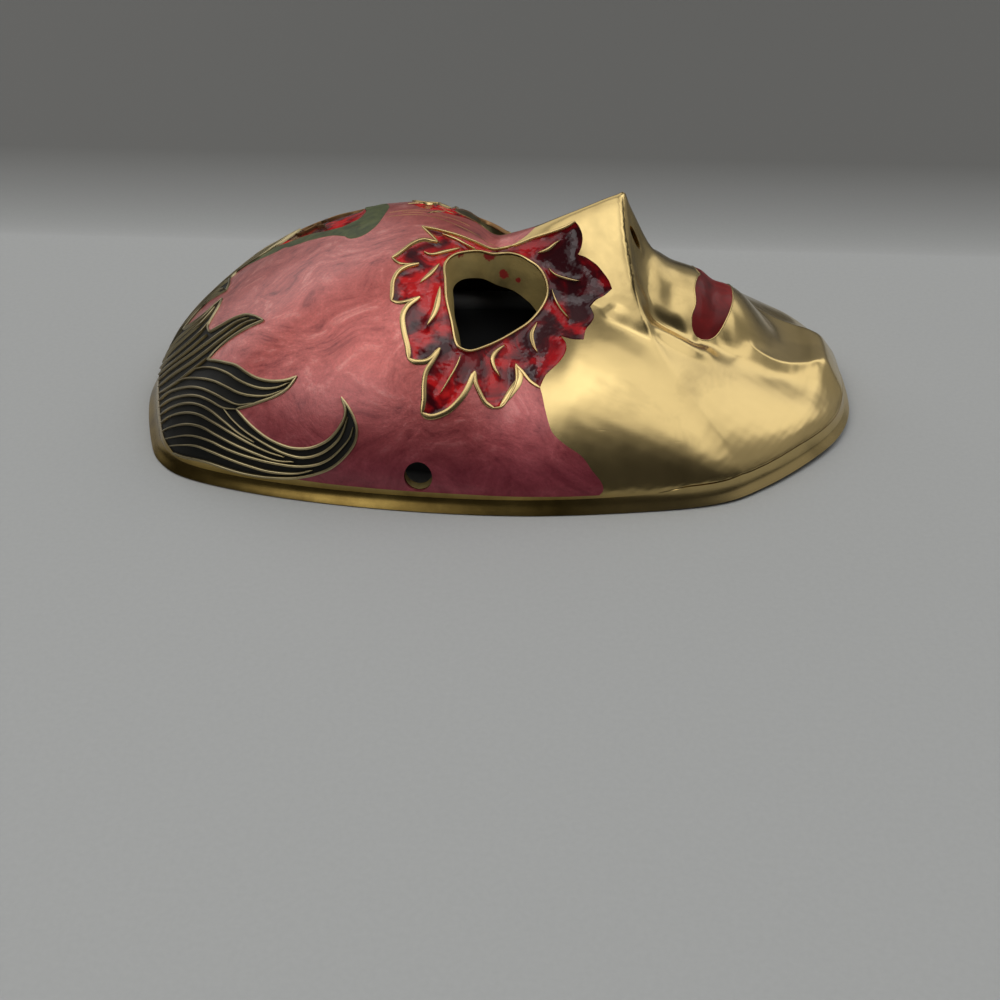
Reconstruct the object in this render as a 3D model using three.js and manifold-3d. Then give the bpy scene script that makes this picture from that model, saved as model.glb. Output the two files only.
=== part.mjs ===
import * as THREE from 'three';
import Module from 'manifold-3d';

// Driving dimensions, millimetres. X runs from forehead (-) to chin (+), Z is up and out of the face.
const HALF_LENGTH = 82.5;
const BAND_INSET = 2.0;
const BAND_HEIGHT = 2.6;
const CHIN_LIFT = 1.6;
const LIFT_START = 20;
const WALL = 3.2;
const EYE_WALL_EXTRA = 1.8;
const DOME_POWER = 0.645;
const UNFOLD = 1.3;
const NOSE_TIP_X = 28.0;
const NOSE_TIP_Z = 49.4;
const TIE_HOLE_X = -13.9;
const TIE_HOLE_Z = 7.0;
const TIE_HOLE_RADIUS = 3.0;
const LEAF_RISE = 1.1;
const LEAF_EDGE_RISE = 0.6;
const COLLAR_WIDTH = 2.8;
const STRAND_RISE = 0.95;
const STRAND_VALLEY = 0.3;
const LIP_RISE = 0.7;
const NOSTRIL_X = 30.7;
const NOSTRIL_Y = 3.9;
const NOSTRIL_DEPTH = 2.0;
const SECTORS = 60;
const OUTER_RINGS = 22;
const INNER_RINGS = 7;
const COLLAR_STEPS = 46;

// Half outline of the rim seen from above: station along the face, half width there.
const OUTLINE = [
  [-82.5, 0], [-81.8, 12.5], [-77.2, 29.5], [-72.6, 39.2], [-64, 45.6], [-44, 51.3], [-18, 54.8], [8, 55.4],
  [33, 52.6], [50, 48.8], [60, 42.4], [70, 32.8], [77.6, 23], [81.6, 12.5], [82.5, 0],
];

// Height of the dome over its rim, by station along the face.
const ROOF_X = [-82, -60, -40, -20, -6, 5, 20, 40, 55, 70, 84];
const ROOF_Z = [36, 37.5, 39.2, 39.8, 35.4, 27.6, 28.2, 26.2, 21.5, 16.5, 13];

// Ridge of the muzzle, which carries the lips, by station along the face.
const MUZZLE_X = [0, 24, 34, 40, 46, 50, 54, 58, 64, 80];
const MUZZLE_Z = [0, 27.0, 34.4, 32.2, 30.2, 27.4, 26.0, 22.6, 15, -6];

// Upper edge of the chin boss by station along the face: height and distance from the middle.
const CHIN_X = [46, 50, 55, 60, 65, 70, 74, 77, 82];
const CHIN_Z = [24, 23.6, 20.6, 17.0, 14.4, 13.0, 12.4, 10.8, 2];
const CHIN_HALF = [9, 10, 11, 12, 11.4, 9.6, 7.4, 5.2, 3];

// Outline of an eye hole on the unfolded skin, and how far its wall closes in by the inner edge.
const EYE_OUTLINE = [
  [-8.8, 16.6], [-8.6, 11.0], [-4.7, 6.8], [1.1, 4.6], [6.0, 6.5], [9.3, 9.0], [9.6, 11.8], [6.8, 17.1],
  [3.8, 20.9], [-0.2, 26.6], [-3.4, 30.2], [-5.8, 30.2], [-7.5, 24.8],
];
const EYE_CENTRE = [0.5, 16.5];
const EYE_DRAFT = 0.16;
const EYE_DEPTH = 5.2;

// Leaves round an eye on the unfolded skin: root at the hole, tip, half width and sideways bend.
const LEAVES = [
  { root: [3.0, 4.0], tip: [-14.2, 1.6], half: 1.7, bend: 0.4 },
  { root: [-4.5, 8.5], tip: [-18.9, 12.8], half: 3.6, bend: -1.2 },
  { root: [-8.0, 14.0], tip: [-18.6, 23.2], half: 4.0, bend: 2.4 },
  { root: [-7.2, 24.0], tip: [-15.4, 35.0], half: 4.4, bend: 2.2 },
  { root: [-4.8, 30.0], tip: [-13.4, 45.6], half: 4.2, bend: -1.6 },
  { root: [-1.0, 28.5], tip: [1.3, 40.5], half: 3.6, bend: 0.0 },
  { root: [4.2, 22.0], tip: [10.0, 33.8], half: 3.6, bend: -1.4 },
  { root: [8.0, 16.5], tip: [17.3, 21.9], half: 4.0, bend: -1.2 },
  { root: [9.4, 11.5], tip: [22.0, 11.0], half: 4.4, bend: 0.6 },
  { root: [6.6, 6.2], tip: [14.4, 1.8], half: 2.3, bend: 0.6 },
];

// Locks of hair on the unfolded skin: middle line, half widths along it and number of strands.
const LOCKS = [
  { line: [[-99, 2.0], [-84, 5.0], [-70, 5.6], [-61.5, 4.2]], half: [5.0, 5.0, 4.0, 0.4], strands: 3 },
  {
    line: [[-95, 14], [-80, 18], [-63, 18.8], [-54, 19.4], [-47.4, 20.2]],
    half: [7, 6.4, 5.6, 3.6, 0.4],
    strands: 4,
  },
  {
    line: [[-90, 31], [-74, 32], [-60, 34.2], [-49, 38.0], [-39.2, 37.3]],
    half: [7, 7, 6.6, 3.6, 0.4],
    strands: 4,
  },
  {
    line: [[-85, 45], [-69, 48], [-52, 54.4], [-40, 56.2], [-31.4, 52.2], [-28.8, 44.6]],
    half: [7.4, 8.6, 7.0, 4.4, 2.4, 0.4],
    strands: 6,
  },
];

// Lips on the plan of the face: edge and parting line, station along the face by distance from the middle.
const LIP_REACH = [0, 2.6, 5.6, 9.2, 12.0, 14.2];
const LIP_UPPER = [46.1, 45.2, 44.5, 44.6, 43.9, 46.4];
const LIP_PARTING = [49.4, 49.1, 48.9, 48.4, 47.8, 47.3];
const LIP_LOWER = [53.8, 53.7, 53.2, 51.8, 50.0, 48.0];

function clamp(value, low, high) {
  return Math.min(Math.max(value, low), high);
}

function ease(low, high, x) {
  const t = clamp((x - low) / (high - low), 0, 1);
  return t * t * (3 - 2 * t);
}

function upper(a, b, round) {
  return 0.5 * (a + b + Math.sqrt((a - b) ** 2 + round * round));
}

function lower(a, b, round) {
  return 0.5 * (a + b - Math.sqrt((a - b) ** 2 + round * round));
}

// Smooth curve through stations, with slopes taken from the neighbours.
function along(x, xs, ys) {
  const last = xs.length - 1;
  let i = 0;
  while (i < last - 1 && x > xs[i + 1]) {
    i += 1;
  }
  const slope = (k) => {
    const a = Math.max(k - 1, 0);
    const b = Math.min(k + 1, last);
    return (ys[b] - ys[a]) / (xs[b] - xs[a]);
  };
  const h = xs[i + 1] - xs[i];
  const t = clamp((x - xs[i]) / h, 0, 1);
  const t2 = t * t;
  const t3 = t2 * t;
  return (2 * t3 - 3 * t2 + 1) * ys[i] + (t3 - 2 * t2 + t) * h * slope(i)
    + (3 * t2 - 2 * t3) * ys[i + 1] + (t3 - t2) * h * slope(i + 1);
}

// Catmull-Rom curve through points; an open one mirrors its second point at each end.
function curveThrough(points, steps, closed) {
  const n = points.length;
  const at = (i) => {
    if (closed) {
      return points[(i + n) % n];
    }
    if (i < 0) {
      return points[0].map((c, k) => 2 * c - points[1][k]);
    }
    if (i >= n) {
      return points[n - 1].map((c, k) => 2 * c - points[n - 2][k]);
    }
    return points[i];
  };
  const spans = closed ? n : n - 1;
  const out = [];
  for (let i = 0; i < spans; i += 1) {
    for (let s = 0; s < steps; s += 1) {
      const t = s / steps;
      out.push(at(i).map((c, k) => {
        const p0 = at(i - 1)[k];
        const p2 = at(i + 1)[k];
        const p3 = at(i + 2)[k];
        return 0.5 * (2 * c + (p2 - p0) * t + (2 * p0 - 5 * c + 4 * p2 - p3) * t * t
          + (3 * c - p0 - 3 * p2 + p3) * t * t * t);
      }));
    }
  }
  if (!closed) {
    out.push([...points[n - 1]]);
  }
  return out;
}

// The rim outline as distance from the middle by bearing.
const fullOutline = [...OUTLINE, ...OUTLINE.slice(1, -1).reverse().map(([x, y]) => [x, -y])];
const outlinePolar = curveThrough(fullOutline, 24, true)
  .filter(([, y]) => y >= -1e-9)
  .map(([x, y]) => [Math.atan2(Math.max(y, 0), x), Math.hypot(x, y)])
  .sort((a, b) => a[0] - b[0]);

function rimRadius(bearing) {
  const b = Math.abs(Math.atan2(Math.sin(bearing), Math.cos(bearing)));
  let low = 0;
  let high = outlinePolar.length - 1;
  if (b >= outlinePolar[high][0]) {
    return outlinePolar[high][1];
  }
  while (high - low > 1) {
    const mid = (low + high) >> 1;
    if (outlinePolar[mid][0] <= b) {
      low = mid;
    } else {
      high = mid;
    }
  }
  const [b0, r0] = outlinePolar[low];
  const [b1, r1] = outlinePolar[high];
  return r0 + ((r1 - r0) * (b - b0)) / Math.max(b1 - b0, 1e-9);
}

function chinLift(x) {
  return CHIN_LIFT * clamp((x - LIFT_START) / (HALF_LENGTH - LIFT_START), 0, 1) ** 2;
}

function nose(x, y, thin) {
  const side = Math.sqrt(y * y + 1.44) - 1.2 + thin * 1.6;
  const ridge = 38.7 + 0.475 * (x - 4) + 0.4 * ease(3, -4, x) - thin;
  const slope = 0.2 + 1.25 * ease(2, 22, x);
  const curl = 0.03 * (1 - ease(4, 24, x));
  const flank = ridge - slope * side - curl * side * side;
  const under = NOSE_TIP_Z - 2.1 * (x - NOSE_TIP_X + thin) - 1.15 * side + 0.03 * side * side;
  const blunt = NOSE_TIP_Z + 0.2 - 0.05 * (x - NOSE_TIP_X) - 0.5 * side - thin;
  return lower(lower(flank, under, 1.2), blunt, 0.8);
}

function muzzle(x, y) {
  return along(x, MUZZLE_X, MUZZLE_Z) - 0.04 * y * y - 0.00004 * y ** 4;
}

// A blunt boss with a hollowed top, a steep side, the flat plane of the jaw and a front that falls away.
function chin(x, y) {
  const side = Math.abs(y);
  const edgeZ = along(x, CHIN_X, CHIN_Z);
  const edgeY = along(x, CHIN_X, CHIN_HALF);
  const top = edgeZ + 0.03 * (side - edgeY);
  const facet = edgeZ - (side - edgeY);
  const plane = 11.3 - 0.5 * (side - 12) - 0.3 * (x - 69);
  const corner = 12.35 - 1.07 * (x - 73) - 0.75 * (side - 10);
  const end = 12 - 1.7 * (x - 76.5) - 0.12 * side;
  const front = 20 + 1.2 * (x - 58);
  const jaw = lower(top, upper(facet, plane, 0.6), 0.35);
  return lower(lower(lower(jaw, corner, 0.8), end, 1.0), front, 2.0);
}

function nearLine(x, y, ax, ay, bx, by) {
  const dx = bx - ax;
  const dy = by - ay;
  const t = clamp(((x - ax) * dx + (y - ay) * dy) / (dx * dx + dy * dy), 0, 1);
  return Math.hypot(x - ax - t * dx, y - ay - t * dy);
}

// Height of the skin over the plan point; rho is 0 in the middle and 1 at the rim, thin 1 for the inside.
function skinHeight(x, y, rho, thin) {
  const side = Math.abs(y);
  const fall = Math.max(1 - rho * rho, 0) ** DOME_POWER;
  let z = BAND_HEIGHT + along(x, ROOF_X, ROOF_Z) * fall;
  z += 1.7 * Math.exp(-(((x + 6) / 8) ** 2) - (y / 11) ** 2);
  z = upper(z, muzzle(x, y), 1.6);
  z = upper(z, chin(x, y), 2.0 + 3.0 * ease(10, 26, side));
  z -= 0.9 * Math.exp(-((nearLine(x, side, 31, 12.8, 44, 15.8) / 2.2) ** 2));
  z += 0.8 * Math.exp(-((nearLine(x, side, 27, 16.4, 47, 18.8) / 2.4) ** 2));
  return upper(z, nose(x, y, thin), 3.2);
}

// Point on the outside of the mask from bearing and unfolded distance (0 middle, 1 top of the rim band).
function outsideAt(bearing, tau) {
  const reach = rimRadius(bearing) - BAND_INSET;
  const rho = Math.sin((tau * Math.PI) / 2);
  const x = rho * reach * Math.cos(bearing);
  const y = rho * reach * Math.sin(bearing);
  const z = skinHeight(x, y, rho, 0) + chinLift(x) * ease(0.8, 1, rho);
  return new THREE.Vector3(x, y, z);
}

function insideAt(bearing, tau) {
  const reach = rimRadius(bearing) - BAND_INSET;
  const rho = Math.sin((tau * Math.PI) / 2);
  const x = rho * reach * Math.cos(bearing);
  const y = rho * reach * Math.sin(bearing);
  const shrink = (reach - WALL) / reach;
  const drop = Math.sqrt(Math.max(1 - rho * rho, 0));
  const nearEye = Math.hypot((x - 0.5) / 15, (Math.abs(y) - 20) / 19);
  const extra = EYE_WALL_EXTRA * ease(1.2, 0.85, nearEye);
  const z = skinHeight(x, y, rho, 1) - (WALL + extra) * drop + chinLift(x) * ease(0.8, 1, rho);
  return new THREE.Vector3(x * shrink, y * shrink, z);
}

// Point raised by rise from the outside, found from unfolded coordinates u (along) and v (across).
function onSkin(u, v, rise) {
  const at = (a, b) => {
    const bearing = Math.atan2(b, a);
    const reach = UNFOLD * (rimRadius(bearing) - BAND_INSET);
    return outsideAt(bearing, clamp(Math.hypot(a, b) / reach, 0, 1));
  };
  const step = 0.25;
  const p = at(u, v);
  const du = at(u + step, v).sub(at(u - step, v));
  const dv = at(u, v + step).sub(at(u, v - step));
  const normal = du.cross(dv).normalize();
  return p.addScaledVector(normal, rise);
}

const wasm = await Module();
wasm.setup();

function solidOf(points, faces) {
  const vertProperties = new Float32Array(points.flatMap((p) => [p.x, p.y, p.z]));
  const triVerts = new Uint32Array(faces.flat());
  return new wasm.Manifold(new wasm.Mesh({ numProp: 3, vertProperties, triVerts }));
}

// Closed skin from rings of points, with a single point at each end.
function ringSolid(startPoint, rings, endPoint) {
  const points = [startPoint, ...rings.flat(), endPoint];
  const n = rings[0].length;
  const faces = [];
  for (let k = 0; k < n; k += 1) {
    const next = (k + 1) % n;
    faces.push([0, 1 + k, 1 + next]);
    for (let r = 0; r + 1 < rings.length; r += 1) {
      const a = 1 + r * n + k;
      const b = 1 + r * n + next;
      faces.push([a, a + n, b + n], [a, b + n, b]);
    }
    const base = 1 + (rings.length - 1) * n;
    faces.push([base + k, points.length - 1, base + next]);
  }
  return solidOf(points, faces);
}

function signedArea(outline) {
  return outline.reduce((sum, [x, y], k) => {
    const [nx, ny] = outline[(k + 1) % outline.length];
    return sum + (x * ny - nx * y) / 2;
  }, 0);
}

// Closed band whose cross-sections all hold the same number of points; looped joins the last to the first.
function sweptSolid(sections, looped) {
  const n = sections[0].length;
  const count = sections.length;
  const faces = [];
  const spans = looped ? count : count - 1;
  for (let s = 0; s < spans; s += 1) {
    const next = (s + 1) % count;
    for (let k = 0; k < n; k += 1) {
      const a = s * n + k;
      const b = s * n + ((k + 1) % n);
      const c = next * n + ((k + 1) % n);
      const d = next * n + k;
      faces.push([a, b, c], [a, c, d]);
    }
  }
  if (!looped) {
    const e = (count - 1) * n;
    for (let k = 1; k + 1 < n; k += 1) {
      faces.push([0, k + 1, k], [e, e + k, e + k + 1]);
    }
  }
  const solid = solidOf(sections.flat(), faces);
  if (solid.volume() > 0) {
    return solid;
  }
  return solidOf(sections.flat(), faces.map(([a, b, c]) => [a, c, b]));
}

function mirrored(outline, side) {
  return outline.map(([u, v]) => [u, v * side]);
}

// The shell: outside from the crown to the rim band, under the rim, and back up the inside.
function makeShell() {
  const bearings = Array.from({ length: SECTORS }, (_, k) => {
    const a = (2 * Math.PI * k) / SECTORS;
    return a - 0.22 * Math.sin(2 * a);
  });
  const rings = [];
  for (let r = 1; r <= OUTER_RINGS; r += 1) {
    rings.push(bearings.map((b) => outsideAt(b, r / OUTER_RINGS)));
  }
  const rimRing = (inset, height) => bearings.map((b) => {
    const radius = rimRadius(b) - inset;
    const x = radius * Math.cos(b);
    return new THREE.Vector3(x, radius * Math.sin(b), height + chinLift(x));
  });
  rings.push(rimRing(0.3, 0.5));
  rings.push(rimRing(0, 0));
  rings.push(rimRing(BAND_INSET + WALL, 0));
  for (let r = INNER_RINGS; r >= 1; r -= 1) {
    rings.push(bearings.map((b) => insideAt(b, r / INNER_RINGS)));
  }
  return ringSolid(outsideAt(0, 0), rings, insideAt(0, 0));
}

// Tapering plug that cuts an eye hole.
function eyeCutter(side) {
  const outline = mirrored(curveThrough(EYE_OUTLINE, 2, true), side);
  const flat = signedArea(outline) > 0 ? outline : [...outline].reverse();
  const ringAt = (scale, lift) => flat.map(([u, v]) => {
    const cu = EYE_CENTRE[0];
    const cv = EYE_CENTRE[1] * side;
    const skin = onSkin(u, v, 0);
    const centre = onSkin(cu, cv, 0);
    return new THREE.Vector3(
      centre.x + (skin.x - centre.x) * scale,
      centre.y + (skin.y - centre.y) * scale,
      skin.z + lift,
    );
  });
  const rings = [
    ringAt(1 + EYE_DRAFT * 1.4, 8),
    ringAt(1, 0),
    ringAt(1 - EYE_DRAFT, -EYE_DEPTH),
    ringAt(1 - EYE_DRAFT, -EYE_DEPTH - 14),
  ];
  const start = onSkin(EYE_CENTRE[0], EYE_CENTRE[1] * side, 10);
  const end = onSkin(EYE_CENTRE[0], EYE_CENTRE[1] * side, 0);
  end.z -= EYE_DEPTH + 16;
  return ringSolid(start, rings, end);
}

function leafOutline({ root, tip, half, bend }, steps) {
  const du = tip[0] - root[0];
  const dv = tip[1] - root[1];
  const length = Math.hypot(du, dv);
  const nu = -dv / length;
  const nv = du / length;
  const edge = (sign) => Array.from({ length: steps - 1 }, (_, k) => {
    const t = (k + 1) / steps;
    const width = half * Math.sin(Math.PI * t ** 1.15) ** 0.75;
    const off = sign * width + bend * Math.sin(Math.PI * t);
    return [root[0] + du * t + nu * off, root[1] + dv * t + nv * off];
  });
  return [[...root], ...edge(-1), [...tip], ...edge(1).reverse()];
}

// Farthest crossing of an outline by the ray from the middle of the eye hole at a bearing.
function reachOf(outline, bearing) {
  const [cu, cv] = EYE_CENTRE;
  const du = Math.cos(bearing);
  const dv = Math.sin(bearing);
  let far = 0;
  outline.forEach(([u, v], k) => {
    const [nu, nv] = outline[(k + 1) % outline.length];
    const eu = nu - u;
    const ev = nv - v;
    const det = du * ev - dv * eu;
    if (Math.abs(det) < 1e-9) {
      return;
    }
    const along1 = ((u - cu) * ev - (v - cv) * eu) / det;
    const along2 = ((u - cu) * dv - (v - cv) * du) / det;
    if (along1 > 0 && along2 >= 0 && along2 <= 1) {
      far = Math.max(far, along1);
    }
  });
  return far;
}

// Wreath of leaves round an eye hole: high along each leaf, low where two leaves part.
function leafWreath(side) {
  const eye = curveThrough(EYE_OUTLINE, 3, true);
  const leaves = LEAVES.map((leaf) => leafOutline(leaf, 12));
  const sections = Array.from({ length: COLLAR_STEPS }, (_, k) => {
    const bearing = (2 * Math.PI * k) / COLLAR_STEPS;
    const hole = reachOf(eye, bearing);
    const reach = Math.max(hole + COLLAR_WIDTH, ...leaves.map((leaf) => reachOf(leaf, bearing)));
    const fullness = clamp((reach - hole - COLLAR_WIDTH) / 9, 0, 1);
    const rise = LEAF_EDGE_RISE + (LEAF_RISE - LEAF_EDGE_RISE) * fullness;
    const point = (distance, lift) => {
      const u = EYE_CENTRE[0] + Math.cos(bearing) * distance;
      const v = EYE_CENTRE[1] + Math.sin(bearing) * distance;
      return onSkin(u, Math.max(v, 1.0) * side, lift);
    };
    return [
      point((hole + reach) / 2, -2.6),
      point(hole - 1.2, -2.2),
      point(hole - 1.2, LEAF_EDGE_RISE),
      point((hole + reach) / 2, rise),
      point(reach, LEAF_EDGE_RISE),
      point(reach + 0.1, -2.2),
    ];
  });
  return sweptSolid(sections, true);
}

// Lock of hair as a corrugated ribbon: one crest for each strand.
function hairLock(lock, side) {
  const steps = 3;
  const middle = curveThrough(lock.line, steps, false);
  const halves = curveThrough(lock.half.map((h) => [h]), steps, false).map(([h]) => Math.max(h, 0.25));
  const sections = middle.map(([u, v], k) => {
    const [au, av] = middle[Math.max(k - 1, 0)];
    const [bu, bv] = middle[Math.min(k + 1, middle.length - 1)];
    const length = Math.hypot(bu - au, bv - av);
    const nu = -(bv - av) / length;
    const nv = (bu - au) / length;
    const point = (across, lift) => {
      const off = across * halves[k];
      return onSkin(u + nu * off, (v + nv * off) * side, lift);
    };
    const tops = [];
    const count = lock.strands * 2;
    for (let j = 0; j <= count; j += 1) {
      const across = (2 * j) / count - 1;
      tops.push(point(across, j % 2 === 1 ? STRAND_RISE : STRAND_VALLEY));
    }
    return [point(-1, -1.8), ...tops, point(1, -1.8)];
  });
  return sweptSolid(sections, false);
}

// A lip as a rounded roll between its edge and the parting line, from one corner to the other.
function lipRoll(edge, parting, rise) {
  const reach = LIP_REACH;
  const stations = [];
  for (let k = reach.length - 1; k > 0; k -= 1) {
    stations.push([-reach[k], edge[k], parting[k], k]);
  }
  for (let k = 0; k < reach.length; k += 1) {
    stations.push([reach[k], edge[k], parting[k], k]);
  }
  const high = (x, y, lift) => {
    const bearing = Math.atan2(y, x);
    const rho = Math.hypot(x, y) / (rimRadius(bearing) - BAND_INSET);
    return new THREE.Vector3(x, y, skinHeight(x, y, rho, 0) + lift);
  };
  const last = reach.length - 1;
  const sections = stations.map(([y, e, p, k]) => {
    const full = rise * (1 - 0.75 * (k / last) ** 2);
    const past = p + Math.sign(p - e) * 0.3;
    return [
      high(e, y, -1.8),
      high(e, y, 0.25),
      high(e + (p - e) * 0.35, y, full),
      high(e + (p - e) * 0.75, y, full * 0.9),
      high(past, y, 0.1),
      high(past, y, -1.8),
    ];
  });
  return sweptSolid(sections, false);
}

function rodAcross(x, z, radius, y0, y1) {
  const n = 20;
  const ring = (y) => Array.from({ length: n }, (_, k) => {
    const a = (2 * Math.PI * k) / n;
    return new THREE.Vector3(x + radius * Math.cos(a), y, z - radius * Math.sin(a));
  });
  const low = Math.min(y0, y1);
  const high = Math.max(y0, y1);
  return ringSolid(new THREE.Vector3(x, high, z), [ring(high), ring(low)], new THREE.Vector3(x, low, z));
}

// Pit of a nostril, cut square to the underside of the nose and drawn out down its slope.
function nostrilCutter(side) {
  const mouth = new THREE.Vector3(NOSTRIL_X, NOSTRIL_Y * side, 0);
  const rho = Math.hypot(mouth.x, mouth.y) / (rimRadius(Math.atan2(mouth.y, mouth.x)) - BAND_INSET);
  mouth.z = skinHeight(mouth.x, mouth.y, rho, 0);
  const out = new THREE.Vector3(2.1, 1.15 * side, 1).normalize();
  const across = new THREE.Vector3(0, 0, 1).cross(out).normalize();
  const down = across.clone().cross(out);
  const ring = (depth, size) => Array.from({ length: 7 }, (_, k) => {
    const a = (2 * Math.PI * k) / 7;
    return mouth.clone()
      .addScaledVector(out, -depth)
      .addScaledVector(across, size * Math.cos(a))
      .addScaledVector(down, 1.9 * size * Math.sin(a));
  });
  const rings = [ring(-1.5, 1.15), ring(NOSTRIL_DEPTH, 0.7)];
  const start = mouth.clone().addScaledVector(out, 1.5);
  const end = mouth.clone().addScaledVector(out, -NOSTRIL_DEPTH);
  const solid = ringSolid(start, rings, end);
  return solid.volume() > 0 ? solid : ringSolid(start, rings.map((r) => [...r].reverse()), end);
}

let body = makeShell();
[1, -1].forEach((side) => {
  body = body.add(leafWreath(side));
  LOCKS.forEach((lock) => {
    body = body.add(hairLock(lock, side));
  });
});
body = body.add(lipRoll(LIP_UPPER, LIP_PARTING, LIP_RISE));
body = body.add(lipRoll(LIP_LOWER, LIP_PARTING, LIP_RISE));
[1, -1].forEach((side) => {
  body = body.subtract(eyeCutter(side));
  body = body.subtract(nostrilCutter(side));
  body = body.subtract(rodAcross(TIE_HOLE_X, TIE_HOLE_Z, TIE_HOLE_RADIUS, side * 40, side * 64));
});

const cut = body.getMesh();
const geometry = new THREE.BufferGeometry();
geometry.setAttribute('position', new THREE.BufferAttribute(Float32Array.from(cut.vertProperties), 3));
geometry.setIndex(Array.from(cut.triVerts));
geometry.computeVertexNormals();

const brass = new THREE.MeshStandardMaterial({ color: 0xb5975c, roughness: 0.32, metalness: 0.9 });
const mask = new THREE.Mesh(geometry, brass);
mask.name = 'mask';

const group = new THREE.Group();
group.name = 'brass_mask';
group.add(mask);

export default group;
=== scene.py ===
"""A hollow cast brass carnival mask with enamel, lying face up on its rim.

The mask is worked out on its "unfolded skin": u runs from forehead (-) to chin (+), v across the face,
both stretched towards the rim so that the steep sides keep their length. Lengths are in millimetres
until a mesh is made.
"""

import math

import bpy
import numpy as np
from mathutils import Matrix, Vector
from mathutils.geometry import delaunay_2d_cdt
from mathutils.kdtree import KDTree


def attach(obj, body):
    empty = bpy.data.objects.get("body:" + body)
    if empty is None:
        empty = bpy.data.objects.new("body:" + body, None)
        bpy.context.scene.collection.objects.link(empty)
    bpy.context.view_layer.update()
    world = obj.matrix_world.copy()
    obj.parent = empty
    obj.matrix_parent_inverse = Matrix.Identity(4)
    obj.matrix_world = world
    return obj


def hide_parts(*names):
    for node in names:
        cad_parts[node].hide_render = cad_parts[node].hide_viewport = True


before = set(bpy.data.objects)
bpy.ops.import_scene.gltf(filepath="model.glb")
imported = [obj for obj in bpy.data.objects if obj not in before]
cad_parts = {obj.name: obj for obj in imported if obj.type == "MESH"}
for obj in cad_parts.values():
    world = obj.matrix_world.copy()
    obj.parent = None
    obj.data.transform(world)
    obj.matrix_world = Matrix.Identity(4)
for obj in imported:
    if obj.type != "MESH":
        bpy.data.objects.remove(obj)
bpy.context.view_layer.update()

MM = 0.001

# Driving dimensions, as in the CAD model.
HALF_LENGTH = 82.5
BAND_INSET = 2.0
BAND_HEIGHT = 2.6
CHIN_LIFT = 1.6
LIFT_START = 20.0
WALL = 3.2
EYE_WALL_EXTRA = 1.8
DOME_POWER = 0.645
UNFOLD = 1.3
NOSE_TIP_X = 28.0
NOSE_TIP_Z = 49.4
TIE_HOLE_X = -13.9
TIE_HOLE_Z = 7.0
TIE_HOLE_RADIUS = 3.0
EYE_CENTRE = (0.5, 16.5)
EYE_DRAFT = 0.16

# Soft swellings of the skin, as in the CAD model: ends in plan, height and reach.
MOUTH_VALLEY = ((31, 12.8), (44, 15.8), -0.9, 2.2)
CHEEK_RIDGE = ((27, 16.4), (47, 18.8), 0.8, 2.4)
BROW_X = -6
BROW_RISE = 1.7
BROW_REACH = (8, 11)

# Levels of the enamels against the bare brass, and of the brass floor under them.
ROSE_LEVEL = -0.10
RED_LEVEL = -0.75
BLACK_LEVEL = -0.30
GREEN_LEVEL = -0.08
LIP_LEVEL = -0.12
FLOOR_DEPTH = 1.3
FLOOR_RAMP = 0.3
MENISCUS_RISE = 0.65
MENISCUS_REACH = 0.5

# Grid spacings on the unfolded skin.
COARSE = 0.95
FINE_WREATH = 0.42
FINE_HAIR = 0.62
FINE_LIPS = 0.5
FINE_FOLDS = 0.42
INSIDE_SPACING = 2.2
SPAN_U = 106.0
SPAN_V = 72.0
LINE_STEP = 0.5
RIM_POINTS = 560
TIE_POINTS = 28
RIM_CROWDING = 0.22
CASTING_SHARP = 40
LINE_SHARP = 50

OUTLINE = [
    (-82.5, 0), (-81.8, 12.5), (-77.2, 29.5), (-72.6, 39.2), (-64, 45.6), (-44, 51.3), (-18, 54.8),
    (8, 55.4), (33, 52.6), (50, 48.8), (60, 42.4), (70, 32.8), (77.6, 23), (81.6, 12.5), (82.5, 0),
]
ROOF_X = [-82, -60, -40, -20, -6, 5, 20, 40, 55, 70, 84]
ROOF_Z = [36, 37.5, 39.2, 39.8, 35.4, 27.6, 28.2, 26.2, 21.5, 16.5, 13]
MUZZLE_X = [0, 24, 34, 40, 46, 50, 54, 58, 64, 80]
MUZZLE_Z = [0, 27.0, 34.4, 32.2, 30.2, 27.4, 26.0, 22.6, 15, -6]
CHIN_X = [46, 50, 55, 60, 65, 70, 74, 77, 82]
CHIN_Z = [24, 23.6, 20.6, 17.0, 14.4, 13.0, 12.4, 10.8, 2]
CHIN_HALF = [9, 10, 11, 12, 11.4, 9.6, 7.4, 5.2, 3]

# Everything below is on the unfolded skin, with the second number growing away from the middle line.
# In lists of runs, each run starts where the one before it ends, and the first one where the last ends.
EYE = [
    (-8.8, 16.6), (-9.1, 12.6), (-7.6, 9.4), (-4.7, 6.9), (-2.2, 4.9), (0.7, 4.2), (3.6, 5.2), (6.1, 6.6),
    (7.9, 7.6), (9.3, 9), (9.8, 10.8), (9.1, 13), (6.8, 17.1), (3.8, 20.9), (-0.2, 26.6), (-3.2, 30),
    (-5.2, 30.6), (-6.4, 29.6), (-7.3, 25.4), (-8.4, 20.9),
]

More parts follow.
